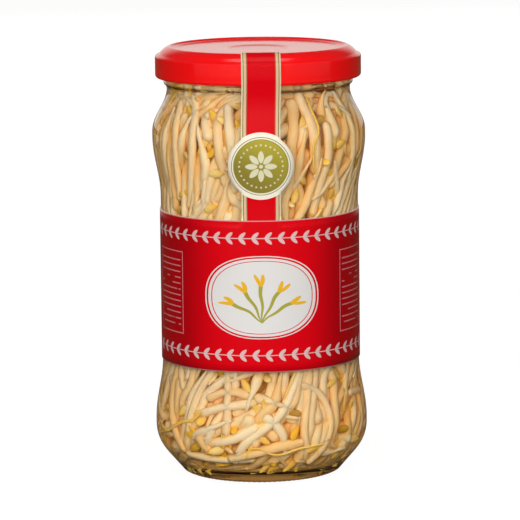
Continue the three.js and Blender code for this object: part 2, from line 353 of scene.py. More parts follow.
@dataclass(frozen=True)
class LacquerFinish:
    """Red lacquer over pressed steel."""

    name: str = "lid_lacquer"
    colour: tuple = (0.9, 0.003, 0.005)

    def build(self) -> bpy.types.Material:
        """Make the material.

        Returns:
            The new material.
        """
        material, graph, out = new_material(self.name)
        tone = graph.add("ShaderNodeGroup", node_tree=Groups.mottle)
        tone.inputs["Scale"].default_value = 60
        tone.inputs["Depth"].default_value = 0.05
        tone.inputs["Grain"].default_value = 900
        shaded = graph.add("ShaderNodeVectorMath", {0: self.colour, 3: tone.outputs["Tone"]}, operation="SCALE")
        bump = graph.add("ShaderNodeBump", {"Height": tone.outputs["Height"], "Distance": 0.00001, "Strength": 0.5})
        paint = graph.add("ShaderNodeBsdfPrincipled")
        graph.feed(paint.inputs["Base Color"], shaded.outputs[0])
        graph.feed(paint.inputs["Roughness"], graph.math("MULTIPLY", tone.outputs["Tone"], 0.12))
        graph.feed(paint.inputs["Normal"], bump.outputs[0])
        graph.feed(paint.inputs["Specular IOR Level"], 0.5)
        graph.feed(out.inputs["Surface"], paint.outputs[0])
        return material


@dataclass(frozen=True)
class CompoundFinish:
    """The pale soft compound of the sealing ring."""

    name: str = "sealing_compound"
    colour: tuple = (0.72, 0.68, 0.58)

    def build(self) -> bpy.types.Material:
        """Make the material.

        Returns:
            The new material.
        """
        material, graph, out = new_material(self.name)
        tone = graph.add("ShaderNodeGroup", node_tree=Groups.mottle)
        shaded = graph.add("ShaderNodeVectorMath", {0: self.colour, 3: tone.outputs["Tone"]}, operation="SCALE")
        soft = graph.add("ShaderNodeBsdfPrincipled", {"Base Color": shaded.outputs[0], "Roughness": 0.55})
        graph.feed(out.inputs["Surface"], soft.outputs[0])
        return material


class Part(Enum):
    """Which part of the sprouts a finish is for."""

    STEM = "stem"
    BEAN = "bean"
    HULL = "hull"
    PULP = "pulp"


@dataclass(frozen=True)
class SproutFinish:
    """Soaked sprout flesh, which light goes into, with fine streaks along it."""

    part: Part
    pale: tuple
    deep: tuple
    tail: tuple
    tail_from: float = 0.75
    streaks: float = 0.1
    into: float = 0.0015

    def build(self) -> bpy.types.Material:
        """Make the material.

        Returns:
            The new material.
        """
        material, graph, out = new_material("sprout_" + self.part.value)
        tone = graph.add("ShaderNodeGroup", node_tree=Groups.mottle)
        tone.inputs["Scale"].default_value = 210
        tone.inputs["Depth"].default_value = 0.14
        tone.inputs["Grain"].default_value = 1400
        along, tint = graph.attribute("along"), graph.attribute("tint")
        flesh = graph.mix(tint, (*self.pale, 1), (*self.deep, 1))
        ended = graph.mix(graph.step(along, self.tail_from, 1.0), flesh, (*self.tail, 1))
        fibre = graph.add("ShaderNodeVectorMath", {0: graph.attribute("ring", "Vector"), 3: 3.0}, operation="SCALE")
        lengthwise = graph.add("ShaderNodeCombineXYZ", {2: graph.math("MULTIPLY", along, 5.0)})
        graph.feed(lengthwise.inputs[1], graph.math("MULTIPLY", tint, 40.0))
        streak = graph.noise(graph.vector("ADD", fibre.outputs[0], lengthwise.outputs[0]), 1.6, 3)
        lit = graph.math("MULTIPLY_ADD", graph.math("SUBTRACT", streak, 0.5), 2 * self.streaks, tone.outputs["Tone"])
        shaded = graph.add("ShaderNodeVectorMath", {0: ended, 3: lit}, operation="SCALE")
        height = graph.math("MULTIPLY_ADD", streak, 0.7, tone.outputs["Height"])
        bump = graph.add("ShaderNodeBump", {"Height": height, "Distance": 0.00006, "Strength": 0.5})
        skin = graph.add("ShaderNodeBsdfPrincipled")
        graph.feed(skin.inputs["Base Color"], shaded.outputs[0])
        graph.feed(skin.inputs["Roughness"], 0.4)
        graph.feed(skin.inputs["IOR"], 1.4)
        graph.feed(skin.inputs["Specular IOR Level"], 0.12)
        graph.feed(skin.inputs["Subsurface Weight"], 0.4)
        graph.feed(skin.inputs["Subsurface Radius"], (1.0, 0.9, 0.75))
        graph.feed(skin.inputs["Subsurface Scale"], self.into)
        graph.feed(skin.inputs["Normal"], bump.outputs[0])
        graph.feed(out.inputs["Surface"], skin.outputs[0])
        return material


@dataclass(frozen=True)
class FloorFinish:
    """A white studio sweep to the camera, with a painted dark reflection in the jar's gloss and painted amber shade
    through its glass.
    """

    name: str = "studio_white"
    white: float = 0.15
    glow: float = 0.92
    # painted dark reflection: the floor's colour in gloss; below it, painted amber shade: its colour seen through the
    # glass, for the shade under the jar
    painted_dark_reflection: tuple = (0.16, 0.11, 0.06)
    through: tuple = (0.85, 0.42, 0.1)

    def build(self) -> bpy.types.Material:
        """Make the material.

        Returns:
            The new material.
        """
        material, graph, out = new_material(self.name)
        sweep = graph.add("ShaderNodeBsdfPrincipled")
        graph.feed(sweep.inputs["Base Color"], (self.white, self.white, self.white, 1))
        graph.feed(sweep.inputs["Roughness"], 0.9)
        graph.feed(sweep.inputs["Specular IOR Level"], 0.0)
        path = graph.add("ShaderNodeLightPath")
        graph.feed(sweep.inputs["Emission Color"], (1, 1, 1, 1))
        graph.feed(sweep.inputs["Emission Strength"], graph.math("MULTIPLY", path.outputs["Is Camera Ray"], self.glow))
        shader = sweep.outputs[0]
        # painted light: gloss rays see the floor dark, and rays through the glass see it amber
        for kind, colour in (("Is Glossy Ray", self.painted_dark_reflection), ("Is Transmission Ray", self.through)):
            matt = graph.add("ShaderNodeBsdfDiffuse", {"Color": (*colour, 1)})
            mixed = graph.add("ShaderNodeMixShader", {0: path.outputs[kind], 1: shader, 2: matt.outputs[0]})
            shader = mixed.outputs[0]
        graph.feed(out.inputs["Surface"], shader)
        return material


@dataclass(frozen=True)
class PrintFinish:
    """Coated label paper: red wrap, gilt-edged tab and gilt medallion. Sizes are in millimetres on the paper."""

    name: str = "label_print"
    red: tuple = (0.64, 0.0006, 0.0055)
    # painted shade: the darker red that the wrap's red turns to towards its sides
    painted_shade_red: tuple = (0.4, 0.0003, 0.004)
    white: tuple = (0.7, 0.68, 0.66)
    pink: tuple = (0.6, 0.2, 0.22)
    cream: tuple = (0.86, 0.79, 0.52)
    peach: tuple = (0.68, 0.46, 0.27)
    bronze: tuple = (0.22, 0.14, 0.05)
    # the medallion's painted sheen: its bright gold, then the darker gold of its painted-shade side
    gold: tuple = (0.55, 0.47, 0.06)
    painted_shade_gold: tuple = (0.34, 0.28, 0.05)
    stalk: tuple = (0.36, 0.34, 0.05)
    bean: tuple = (0.75, 0.42, 0.02)
    wrap_low: float = 37.4
    wrap_top: float = 86.3
    red_half: float = 4.42
    plaque: Point = (0.0, 61.6)
    plaque_half: Point = (18.0, 12.6)
    garlands: Point = (42.9, 80.6)
    leaf_pitch: float = 4.2
    sheaf_root: Point = (0.0, 53.4)
    sheaf: tuple = ((90.0, 0.004, 12.4), (69.0, -0.012, 11.6), (111.0, 0.012, 11.6), (46.0, -0.022, 11.4), (134.0, 0.022, 11.4))
    beads: int = 28
    bead_ring: float = 6.85
    medallion_z: float = 103.8
    medallion_r: float = 10.45

    def place(self, graph: Graph) -> tuple[Socket, Socket, Socket]:
        """Read where a point is on the paper.

        Args:
            graph: the material's graph.

        Returns:
            The place as a vector in millimetres, and its parts across and up.
        """
        where = graph.add("ShaderNodeUVMap", uv_map="paper").outputs[0]
        scaled = graph.add("ShaderNodeVectorMath", {0: where, 3: 1000.0}, operation="SCALE").outputs[0]
        parts = graph.add("ShaderNodeSeparateXYZ", {0: scaled})
        return scaled, parts.outputs[0], parts.outputs[1]

    def under(self, graph: Graph, value: Socket, limit: float, soft: float = 0.06) -> Socket:
        """Mask where a value is under a limit.

        Args:
            graph: the material's graph.
            value: the number to read.
            limit: where the mask ends.
            soft: how wide its edge is.

        Returns:
            1 under the limit and 0 over it.
        """
        return graph.step(value, limit - soft, limit + soft, (1.0, 0.0))

    def line_at(self, graph: Graph, value: Socket, middle: float, half: float) -> Socket:
        """Mask a line where a value is near a number.

        Args:
            graph: the material's graph.
            value: the number to read.
            middle: the number.
            half: the line's half width.

        Returns:
            1 on the line.
        """
        off = graph.math("ABSOLUTE", graph.math("SUBTRACT", value, middle))
        return self.under(graph, off, half, half * 0.3)

    def oval(self, graph: Graph, place: Socket, centre: Point, half: Point, power: float = 2.0) -> Socket:
        """Measure a place against an oval.

        Args:
            graph: the material's graph.
            place: the place on the paper.
            centre: the oval's middle.
            half: its half width and half height.
            power: 2 for an ellipse, and more for a squarer one.

        Returns:
            Under 1 inside it and over 1 outside.
        """
        reach = graph.vector("SUBTRACT", place, (*centre, 0.0))
        share = graph.vector("ABSOLUTE", graph.vector("DIVIDE", reach, (*half, 1.0)))
        parts = graph.add("ShaderNodeSeparateXYZ", {0: share})
        raised = [graph.math("POWER", parts.outputs[i], power) for i in (0, 1)]
        return graph.math("POWER", graph.math("ADD", *raised), 1 / power)

    def garland(self, graph: Graph, across: Socket, up: Socket, height: float) -> Socket:
        """Draw a chain of leaf pairs along the paper.

        Args:
            graph: the material's graph.
            across: the place across.
            up: the place up.
            height: the chain's own height.

        Returns:
            1 on the leaves and their stem.
        """
        turn = graph.math("DIVIDE", across, self.leaf_pitch)
        x = graph.math("MULTIPLY", graph.math("SUBTRACT", graph.math("FRACT", turn), 0.5), self.leaf_pitch)
        y = graph.math("ABSOLUTE", graph.math("SUBTRACT", up, height))
        tilt = 0.75
        along = graph.math("MULTIPLY_ADD", y, math.sin(tilt), graph.math("MULTIPLY", x, math.cos(tilt)))
        aside = graph.math("MULTIPLY_ADD", y, math.cos(tilt), graph.math("MULTIPLY", x, -math.sin(tilt)))
        spot = graph.add("ShaderNodeCombineXYZ", {0: along, 1: aside}).outputs[0]
        leaves = self.oval(graph, spot, (0.55, 0.62), (1.55, 0.6), 1.7)
        leaves = self.under(graph, leaves, 1.0, 0.08)
        return graph.math("MAXIMUM", leaves, self.under(graph, y, 0.14, 0.05))

    def ruled_panel(self, graph: Graph, place: Socket, centre: Point, half: Point, rows: float) -> Socket:
        """Draw a framed panel of fine rules that break off here and there.

        Args:
            graph: the material's graph.
            place: the place on the paper.
            centre: the panel's middle.
            half: its half width and half height.
            rows: the rules' spacing.

        Returns:
            1 on the frame and the rules.
        """
        parts = graph.add("ShaderNodeSeparateXYZ", {0: graph.vector("SUBTRACT", place, (*centre, 0.0))})
        x, y = parts.outputs[0], parts.outputs[1]
        beyond_x = graph.math("SUBTRACT", graph.math("ABSOLUTE", x), half[0])
        beyond_y = graph.math("SUBTRACT", graph.math("ABSOLUTE", y), half[1])
        edge = graph.math("MAXIMUM", beyond_x, beyond_y)
        row = graph.math("DIVIDE", y, rows)
        off = graph.math("ABSOLUTE", graph.math("SUBTRACT", graph.math("FRACT", row), 0.5))
        seen = graph.add("ShaderNodeCombineXYZ", {0: graph.math("MULTIPLY", x, 0.12)})
        graph.feed(seen.inputs[1], graph.math("MULTIPLY", graph.math("FLOOR", row), 5.7))
        unbroken = graph.step(graph.noise(seen.outputs[0], 1.0, 0.0), 0.36, 0.38)
        rules = graph.math("MULTIPLY", self.under(graph, off, 0.1, 0.05), unbroken)
        rules = graph.math("MULTIPLY", rules, self.under(graph, edge, -1.1, 0.05))
        return graph.math("MAXIMUM", rules, self.line_at(graph, edge, 0.0, 0.17))

    def wrap_colour(self, graph: Graph, place: Socket, across: Socket, up: Socket) -> Socket:
        """Colour the wrap: garlands along both edges, ruled panels, and a plaque with a sheaf of sprouts.

        Args:
            graph: the material's graph.
            place: the place on the paper.
            across: its part across.
            up: its part up.

        Returns:
            The colour.
        """
        white, pink = (*self.white, 1), (*self.pink, 1)
        # painted shade: the red ground darkens towards the wrap's sides, as light falls off round the jar
        aside = graph.step(graph.math("ABSOLUTE", across), 13.0, 31.0)
        ground = graph.mix(aside, (*self.red, 1), (*self.painted_shade_red, 1))
        marks = graph.math("MAXIMUM", *(self.garland(graph, across, up, z) for z in self.garlands))
        colour = graph.mix(marks, ground, (0.66, 0.46, 0.45, 1))
        panels = (((36.5, 61.6), (7.6, 13.2)), ((70.0, 61.6), (17.0, 13.2)))
        for (x, z), half in panels:
            for side in (-1, 1):
                ruled = self.ruled_panel(graph, place, (side * x, z), half, 1.9)
                colour = graph.mix(ruled, colour, pink)
        plaque = self.oval(graph, place, self.plaque, self.plaque_half, 2.3)
        colour = graph.mix(self.line_at(graph, plaque, 1.05, 0.012), colour, white)
        colour = graph.mix(self.under(graph, plaque, 1.0, 0.005), colour, white)
        colour = graph.mix(self.line_at(graph, plaque, 0.93, 0.009), colour, (*self.red, 1))
        for turn, bend, length in self.sheaf:
            mark = graph.add("ShaderNodeGroup", node_tree=Groups.sprout_mark)
            graph.feed(mark.inputs["Place"], place)
            graph.feed(mark.inputs["Root"], (*self.sheaf_root, 0.0))
            graph.feed(mark.inputs["Turn"], math.radians(turn))
            graph.feed(mark.inputs["Bend"], bend)
            graph.feed(mark.inputs["Length"], length)
            colour = graph.mix(mark.outputs["Stem"], colour, (*self.stalk, 1))
            colour = graph.mix(mark.outputs["Halves"], colour, (*self.bean, 1))
        for edge in (self.wrap_low, self.wrap_top):
            colour = graph.mix(self.line_at(graph, up, edge, 0.3), colour, (0.62, 0.28, 0.28, 1))
        return colour

    def seal_marks(self, graph: Graph, from_middle: Socket) -> Socket:
        """Draw the medallion's ring of beads round a rosette.

        Args:
            graph: the material's graph.
            from_middle: the place, from the medallion's middle.

        Returns:
            1 on the beads and the petals.
        """
        parts = graph.add("ShaderNodeSeparateXYZ", {0: from_middle})
        angle = graph.math("ARCTAN2", parts.outputs[0], parts.outputs[1])
        far = graph.vector("LENGTH", from_middle)

        def repeated(count: int) -> Socket:
            """Give the place across and out from the middle, as if turned to the nearest of so many rays."""
            share = graph.math("FRACT", graph.math("MULTIPLY_ADD", angle, count / (2 * math.pi), 0.5))
            turn = graph.math("MULTIPLY", graph.math("SUBTRACT", share, 0.5), 2 * math.pi / count)
            spot = [graph.math("MULTIPLY", far, graph.math(name, turn)) for name in ("SINE", "COSINE")]
            return graph.add("ShaderNodeCombineXYZ", dict(enumerate(spot))).outputs[0]

        beads = graph.vector("DISTANCE", repeated(self.beads), (0.0, self.bead_ring, 0.0))
        petals = self.oval(graph, repeated(8), (0.0, 3.05), (0.95, 1.95), 1.7)
        marks = graph.math("MAXIMUM", self.under(graph, beads, 0.3), self.under(graph, petals, 1.0, 0.07))
        return graph.math("MAXIMUM", marks, self.under(graph, far, 0.62))

    def build(self) -> bpy.types.Material:
        """Make the material.

        Returns:
            The new material.
        """
        material, graph, out = new_material(self.name)
        place, across, up = self.place(graph)
        tone = graph.add("ShaderNodeGroup", node_tree=Groups.mottle)
        tone.inputs["Scale"].default_value = 40
        tone.inputs["Depth"].default_value = 0.03
        tone.inputs["Grain"].default_value = 2200
        colour = self.wrap_colour(graph, place, across, up)

        sideways = graph.math("ABSOLUTE", across)
        bands = ((5.75, self.bronze), (5.47, self.peach), (4.64, self.bronze), (self.red_half, self.red))
        striped: object = (*self.cream, 1)
        for limit, band in bands:
            striped = graph.mix(self.under(graph, sideways, limit, 0.05), striped, (*band, 1))
        on_tab = graph.step(up, self.wrap_top - 0.05, self.wrap_top + 0.05)
        colour = graph.mix(on_tab, colour, striped)

        middle = (0.0, self.medallion_z)
        seal = self.oval(graph, place, middle, (self.medallion_r, self.medallion_r))
        from_middle = graph.vector("SUBTRACT", place, (*middle, 0.0))
        # painted sheen: the gilt disc goes from a shaded gold to a bright gold along one direction, as if lit from one
        # side
        sweep = graph.math("MULTIPLY_ADD", graph.vector("DOT_PRODUCT", from_middle, (0.6, 0.8, 0.0)), 0.055, 0.5)
        painted_sheen = graph.mix(graph.step(sweep, 0.0, 1.0), (*self.painted_shade_gold, 1), (*self.gold, 1))
        disc: object = (0.84, 0.79, 0.64, 1)
        rings = ((0.895, self.bronze), (0.875, (0.82, 0.78, 0.58)), (0.83, (0.3, 0.25, 0.05)))
        for limit, face in rings:
            disc = graph.mix(self.under(graph, seal, limit, 0.006), disc, (*face, 1))
        disc = graph.mix(self.under(graph, seal, 0.81, 0.006), disc, painted_sheen)
        colour = graph.mix(self.under(graph, seal, 1.03, 0.004), colour, disc)

        marks = graph.math("MULTIPLY", self.seal_marks(graph, from_middle), self.under(graph, seal, 0.81, 0.006))
        colour = graph.mix(marks, colour, (0.7, 0.67, 0.45, 1))

        gilt = graph.math("MULTIPLY", self.under(graph, seal, 0.83, 0.01), graph.math("SUBTRACT", 1.0, marks))
        shaded = graph.add("ShaderNodeVectorMath", {0: colour, 3: tone.outputs["Tone"]}, operation="SCALE")
        bump = graph.add("ShaderNodeBump", {"Height": tone.outputs["Height"], "Distance": 0.000012, "Strength": 0.4})
        ink = graph.add("ShaderNodeBsdfPrincipled")
        graph.feed(ink.inputs["Base Color"], shaded.outputs[0])
        graph.feed(ink.inputs["Metallic"], graph.math("MULTIPLY", gilt, 0.35))
        graph.feed(ink.inputs["Roughness"], graph.math("MULTIPLY", tone.outputs["Tone"], 0.28))
        graph.feed(ink.inputs["Specular IOR Level"], 0.12)
        graph.feed(ink.inputs["Normal"], bump.outputs[0])
        graph.feed(out.inputs["Surface"], ink.outputs[0])
        return material


@dataclass(frozen=True)
class PaperFinish:
    """The label's plain white back and cut edges."""

    name: str = "label_paper"
    colour: tuple = (0.86, 0.8, 0.76)

    def build(self) -> bpy.types.Material:
        """Make the material.

        Returns:
            The new material.
        """
        material, graph, out = new_material(self.name)
        tone = graph.add("ShaderNodeGroup", node_tree=Groups.mottle)
        tone.inputs["Grain"].default_value = 2600
        shaded = graph.add("ShaderNodeVectorMath", {0: self.colour, 3: tone.outputs["Tone"]}, operation="SCALE")
        bump = graph.add("ShaderNodeBump", {"Height": tone.outputs["Height"], "Distance": 0.00003, "Strength": 0.5})
        paper = graph.add("ShaderNodeBsdfPrincipled", {"Base Color": shaded.outputs[0], "Roughness": 0.8})
        graph.feed(paper.inputs["Normal"], bump.outputs[0])
        graph.feed(out.inputs["Surface"], paper.outputs[0])
        return material


def make_piece(name: str, places: np.ndarray, faces: Sequence, material: bpy.types.Material) -> bpy.types.Object:
    """Make a smooth mesh piece from places in millimetres.

    Args:
        name: the piece's name.
        places: one row of x, y and z to a vertex, in millimetres.
        faces: vertex numbers, anticlockwise from outside.
        material: its finish.

    Returns:
        The new object, with its place in its mesh.
    """
    mesh = bpy.data.meshes.new(name)
    mesh.from_pydata((np.asarray(places, float) * MM).tolist(), [], [list(f) for f in faces])
    mesh.polygons.foreach_set("use_smooth", np.ones(len(mesh.polygons), bool))
    mesh.materials.append(material)
    mesh.update()
    piece = bpy.data.objects.new(name, mesh)
    bpy.context.scene.collection.objects.link(piece)
    return piece


def lathe(outline: Sequence[Point], sides: int, shape: Callable | None = None) -> tuple[np.ndarray, list]:
    """Turn a closed outline about the jar's axis.

    Args:
        outline: radius and height, in millimetres, with solid on its left as it goes; a radius of 0 is a pole.
        sides: how many sides go round.
        shape: gives x-y radius and height from the angles, radius and height, for what isn't quite round.

    Returns:
        The places and the faces.
    """
    angles = np.arange(sides) * 2 * np.pi / sides
    places: list[np.ndarray] = []
    rings: list[np.ndarray] = []
    count = 0
    for r, z in outline:
        if r == 0:
            places.append(np.array([[0.0, 0.0, z]]))
            rings.append(np.full(sides, count))
            count += 1
            continue
        radii, heights = np.full(sides, float(r)), np.full(sides, float(z))
        if shape:
            radii, heights = shape(angles, radii, heights)
        places.append(np.stack([radii * np.sin(angles), -radii * np.cos(angles), heights], 1))
        rings.append(np.arange(count, count + sides))
        count += sides
    faces = []
    pairs = list(zip(rings, rings[1:]))
    if outline[0][0] != 0:
        pairs.append((rings[-1], rings[0]))
    for low, high in pairs:
        for i in range(sides):
            j = (i + 1) % sides
            corners = [low[i], low[j], high[j], high[i]]
            face = [c for n, c in enumerate(corners) if c != corners[n - 1]]
            if len(face) > 2:
                faces.append([int(c) for c in face])
    return np.concatenate(places), faces


def arc(centre: Point, radius: float, start: float, end: float, count: int) -> list[Point]:
    """Give points along an arc.

    Args:
        centre: its middle.
        radius: its radius.
        start: the first angle, in degrees, anticlockwise from +r.
        end: the last angle.
        count: how many steps it has.

    Returns:
        The points, both ends among them.
    """
    turns = np.radians(np.linspace(start, end, count + 1))
    return [(centre[0] + radius * math.cos(t), centre[1] + radius * math.sin(t)) for t in turns]


@dataclass(frozen=True)
class JarShape:
    """The moulded jar's sizes, in millimetres, and its outline."""

    bulge: float = 34.5
    waist: float = 32.05
    neck: float = 29.6
    heel_arc: float = 13.2
    heel_z: float = 15.5
    foot_r: float = 26.3
    heel_slope: float = 0.86
    low_bulge_top: float = 17.0
    waist_bottom: float = 37.5
    waist_top: float = 90.5
    high_bulge_bottom: float = 110.0
    high_bulge_top: float = 111.5
    neck_bottom: float = 125.5
    wall: float = 2.3
    floor_z: float = 4.6
    mouth: float = 27.0
    rim_z: float = 136.8
    finish_r: float = 29.9

    def radius(self, z: object) -> np.ndarray:
        """Give the outer wall's radius at heights.

        Args:
            z: one height or many.

        Returns:
            The radii.
        """
        z = np.asarray(z, float)

        def eased(start: float, end: float, low: float, high: float) -> np.ndarray:
            """Ease between two radii over a span of heights."""
            share = np.clip((z - low) / (high - low), 0, 1)
            return start + (end - start) * 0.5 * (1 - np.cos(np.pi * share))

        wall = np.where(z < self.waist_top, eased(self.bulge, self.waist, self.low_bulge_top, self.waist_bottom), 0)
        wall = np.where(z >= self.waist_top, eased(self.waist, self.bulge, self.waist_top, self.high_bulge_bottom), wall)
        wall = np.where(z > self.high_bulge_top, eased(self.bulge, self.neck, self.high_bulge_top, self.neck_bottom), wall)
        drop = np.clip(self.heel_z - z, 0, self.heel_arc)
        heel = self.bulge - self.heel_arc + np.sqrt(self.heel_arc**2 - drop**2)
        start = self.heel_z - self.heel_arc * math.sin(math.atan(self.heel_slope))
        wall = np.where(z < self.heel_z, heel, wall)
        return np.where(z < start, self.foot_r + self.heel_slope * (z - 1), wall)

    def inside(self, inset: float, top: float, mouth: float) -> list[Point]:
        """Give the outline of the inner wall from the middle of the floor up.

        Args:
            inset: how far it is in from the outer wall.
            top: the height that it ends at.
            mouth: the radius of the neck there.

        Returns:
            The points.
        """
        floor = self.floor_z + inset - self.wall
        corner = [
            np.array([19.5, floor]),
            np.array([25.5, floor]),
            np.array([28.4 - (inset - self.wall), floor + 1.6]),
            np.array([float(self.radius(floor + 5.4)) - inset, floor + 5.4]),
        ]
        points: list[Point] = [(0.0, floor + 0.5), (7.0, floor + 0.44), (14.0, floor + 0.22)]
        for t in np.linspace(0, 1, 9):
            weights = ((1 - t) ** 3, 3 * t * (1 - t) ** 2, 3 * t * t * (1 - t), t**3)
            spot = sum(w * c for w, c in zip(weights, corner))
            points.append((float(spot[0]), float(spot[1])))
        heights = [*np.linspace(12, 38, 17), *np.linspace(52, 76, 3), *np.linspace(90, 124, 23)]
        points += [(float(self.radius(z)) - inset, float(z)) for z in heights if z > floor + 6]
        points = [p for p in points if p[1] < 100 or p[0] > mouth + 0.05]
        blend = points[-1]
        points += [(mouth + (blend[0] - mouth) * 0.3, blend[1] + 0.9), (mouth, blend[1] + 2.2), (mouth, top)]
        return points


@dataclass
class GlassJar:
    """The jar itself, with its knurled foot and the threads that the lid's lugs hold."""

    shape: JarShape
    finish: GlassFinish = field(default_factory=GlassFinish)
    sides: int = 192
    knurl: float = 0.16
    threads: int = 4
    thread_z: float = 133.2
    thread_rise: float = 1.4
    thread_turn: float = 1.0
    thread_out: float = 1.15

    def outline(self) -> list[Point]:
        """Give the outline from under the foot's middle, up the outside and down the inside.

        Returns:
            The points.
        """
        s = self.shape
        wall = [(float(s.radius(z)), float(z)) for z in (*np.linspace(1.6, 6.4, 4), *np.linspace(7, 38, 34))]
        wall += [(float(s.radius(z)), float(z)) for z in (*np.linspace(50, 80, 3), *np.linspace(90, 125, 36))]
        foot = [(0.0, 2.6), (8.0, 2.56), (16.0, 2.3), (20.4, 1.7), (21.8, 0.8), (22.6, 0.1), (23.2, 0.0), (24.0, 0.0)]
        foot += [(24.6, 0.0), (25.3, 0.14), (25.9, 0.5), (26.3, 1.0)]
        bead = [(29.7, 126.1), (30.0, 126.5), *arc((29.8, 127.4), 0.8, -60, 60, 6), (30.0, 128.4), (29.9, 128.75)]
        finish = [(s.finish_r, float(z)) for z in np.linspace(129.3, 135.6, 13)]
        rim = [*arc((28.9, s.rim_z - 1.0), 1.0, 0, 90, 5), *arc((28.0, s.rim_z - 1.0), 1.0, 90, 180, 5)]
        return [*foot, *wall, *bead, *finish, *rim, *reversed(s.inside(s.wall, s.rim_z - 2, s.mouth))]

    def moulded(self, angles: np.ndarray, r: np.ndarray, z: np.ndarray) -> tuple[np.ndarray, np.ndarray]:
        """Add the foot's knurls and the finish's threads to a ring.

        Args:
            angles: the ring's angles.
            r: its radii.
            z: its heights.

        Returns:
            The changed radii and heights.
        """
        if z[0] < 0.3 and r[0] > 23:
            z = z + self.knurl * (np.arange(len(angles)) % 2)
        if r[0] > self.shape.finish_r - 0.1 and 129 < z[0] < 136:
            for i in range(self.threads):
                middle = 2 * math.pi * (i + 0.5) / self.threads
                away = (angles - middle + math.pi) % (2 * math.pi) - math.pi
                share = away / self.thread_turn
                bead = np.exp(-(((z - self.thread_z - self.thread_rise * share) / 0.8) ** 2))
                r = r + self.thread_out * bead * np.clip((0.5 - np.abs(share)) * 8, 0, 1)
        return r, z

    def build(self) -> bpy.types.Object:
        """Make the jar.

        Returns:
            The glass piece.
        """
        places, faces = lathe(self.outline(), self.sides, self.moulded)
        piece = make_piece("jar_glass", places, faces, self.finish.build())
        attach(piece, BODY)
        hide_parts("glass_jar")
        return piece


@dataclass
class Brine:
    """The liquid, which meets the inside of the glass."""

    shape: JarShape
    finish: BrineFinish = field(default_factory=BrineFinish)
    level: float = 128.3
    into_glass: float = 0.06
    sides: int = 128

    def build(self) -> bpy.types.Object:
        """Make the liquid.

        Returns:
            The liquid piece.
        """
        s = self.shape
        outline = s.inside(s.wall - self.into_glass, self.level, s.mouth + self.into_glass)
        outline += [(s.mouth - 0.6, self.level - 0.2), (s.mouth - 2.0, self.level - 0.3), (0.0, self.level - 0.3)]
        places, faces = lathe(outline, self.sides)
        piece = make_piece("brine_liquid", places, faces, self.finish.build())
        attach(piece, BODY)
        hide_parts("brine")
        return piece


@dataclass
class Lid:
    """The pressed lid: recessed panel with its button, rim, sloping shoulder, skirt and curled hem with lugs."""

    finish: LacquerFinish = field(default_factory=LacquerFinish)
    outer: float = 33.3
    bottom: float = 128.9
    crest_at: Point = (28.75, 138.07)
    crest_r: float = 0.9
    slope: float = 66.0
    cone_r: float = 7.0
    cone_turn: float = 36.0
    shoulder_r: float = 0.9
    panel: float = 138.2
    sheet: float = 0.45
    hem_r: float = 1.05
    lugs: int = 4
    lug_press: float = 0.5
    sides: int = 192

    def shoulder(self, out: float = 0.0) -> list[Point]:
        """Give the line from the skirt's top over the bowed shoulder and the crest.

        Args:
            out: how far it is out from the lid's own face.

        Returns:
            The points.
        """
        turn, top = math.radians(self.slope), self.crest_at
        crest = (top[0] + self.crest_r * math.cos(turn), top[1] + self.crest_r * math.sin(turn))
        bow_at = (crest[0] - self.cone_r * math.cos(turn), crest[1] - self.cone_r * math.sin(turn))
        low_turn = self.slope - self.cone_turn
        near = (self.cone_r - self.shoulder_r) * math.sin(math.radians(low_turn))
        edge_at = (self.outer - self.shoulder_r, bow_at[1] + near)
        line = arc(edge_at, self.shoulder_r + out, 0, low_turn, 5)
        line += arc(bow_at, self.cone_r + out, low_turn, self.slope, 9)[1:]
        return line + arc(top, self.crest_r + out, self.slope, 148, 8)[1:]

    def outline(self) -> list[Point]:
        """Give the outline, with the solid on its left.

        Returns:
            The points.
        """
        p, low, r, thin = self.panel, self.panel - 0.35, self.outer, self.sheet
        top = [(0.0, low), (4.0, low), (8.2, low), (8.7, low + 0.04), (9.3, p - 0.16), (9.9, p - 0.03), (10.6, p)]
        top += [(16.0, p), (22.0, p), (26.2, p), (26.9, p + 0.02), (27.3, p + 0.1), (27.7, p + 0.26)]
        top += self.shoulder()[::-1]
        skirt = [(r, 134.0), (r, 132.6), (r, 131.2), (r - 0.02, 130.5)]
        hem = arc((r - self.hem_r, self.bottom + self.hem_r), self.hem_r, 12, -200, 16)
        back = [(r - thin, 131.0), (r - thin, 132.6), (r - thin, 134.0), *self.shoulder(-thin)]
        back += [(27.9, p - 0.12), (27.4, p - 0.3), (26.8, p - 0.42), (26.0, p - thin), (10.4, p - thin)]
        back += [(9.2, low - 0.3), (8.2, low - thin), (0.0, low - thin)]
        return [*top, *skirt, *hem, *back][::-1]

    def pressed(self, angles: np.ndarray, r: np.ndarray, z: np.ndarray) -> tuple[np.ndarray, np.ndarray]:
        """Press the hem inwards at the lugs.

        Args:
            angles: the ring's angles.
            r: its radii.
            z: its heights.

        Returns:
            The changed radii and heights.
        """
        if z[0] < self.bottom + 1.9 and r[0] < self.outer - 0.9:
            for i in range(self.lugs):
                away = (angles - 2 * math.pi * i / self.lugs + math.pi) % (2 * math.pi) - math.pi
                r = r - self.lug_press * np.clip(1.5 - np.abs(away) / 0.12, 0, 1)
        return r, z

    def build(self) -> bpy.types.Object:
        """Make the lid, and dress the sealing ring in it.

        Returns:
            The lid piece.
        """
        places, faces = lathe(self.outline(), self.sides, self.pressed)
        piece = make_piece("lid_shell", places, faces, self.finish.build())
        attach(piece, BODY)
        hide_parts("lid")
        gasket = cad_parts["lid_gasket"]
        gasket.data.materials.clear()
        gasket.data.materials.append(CompoundFinish().build())
        return piece


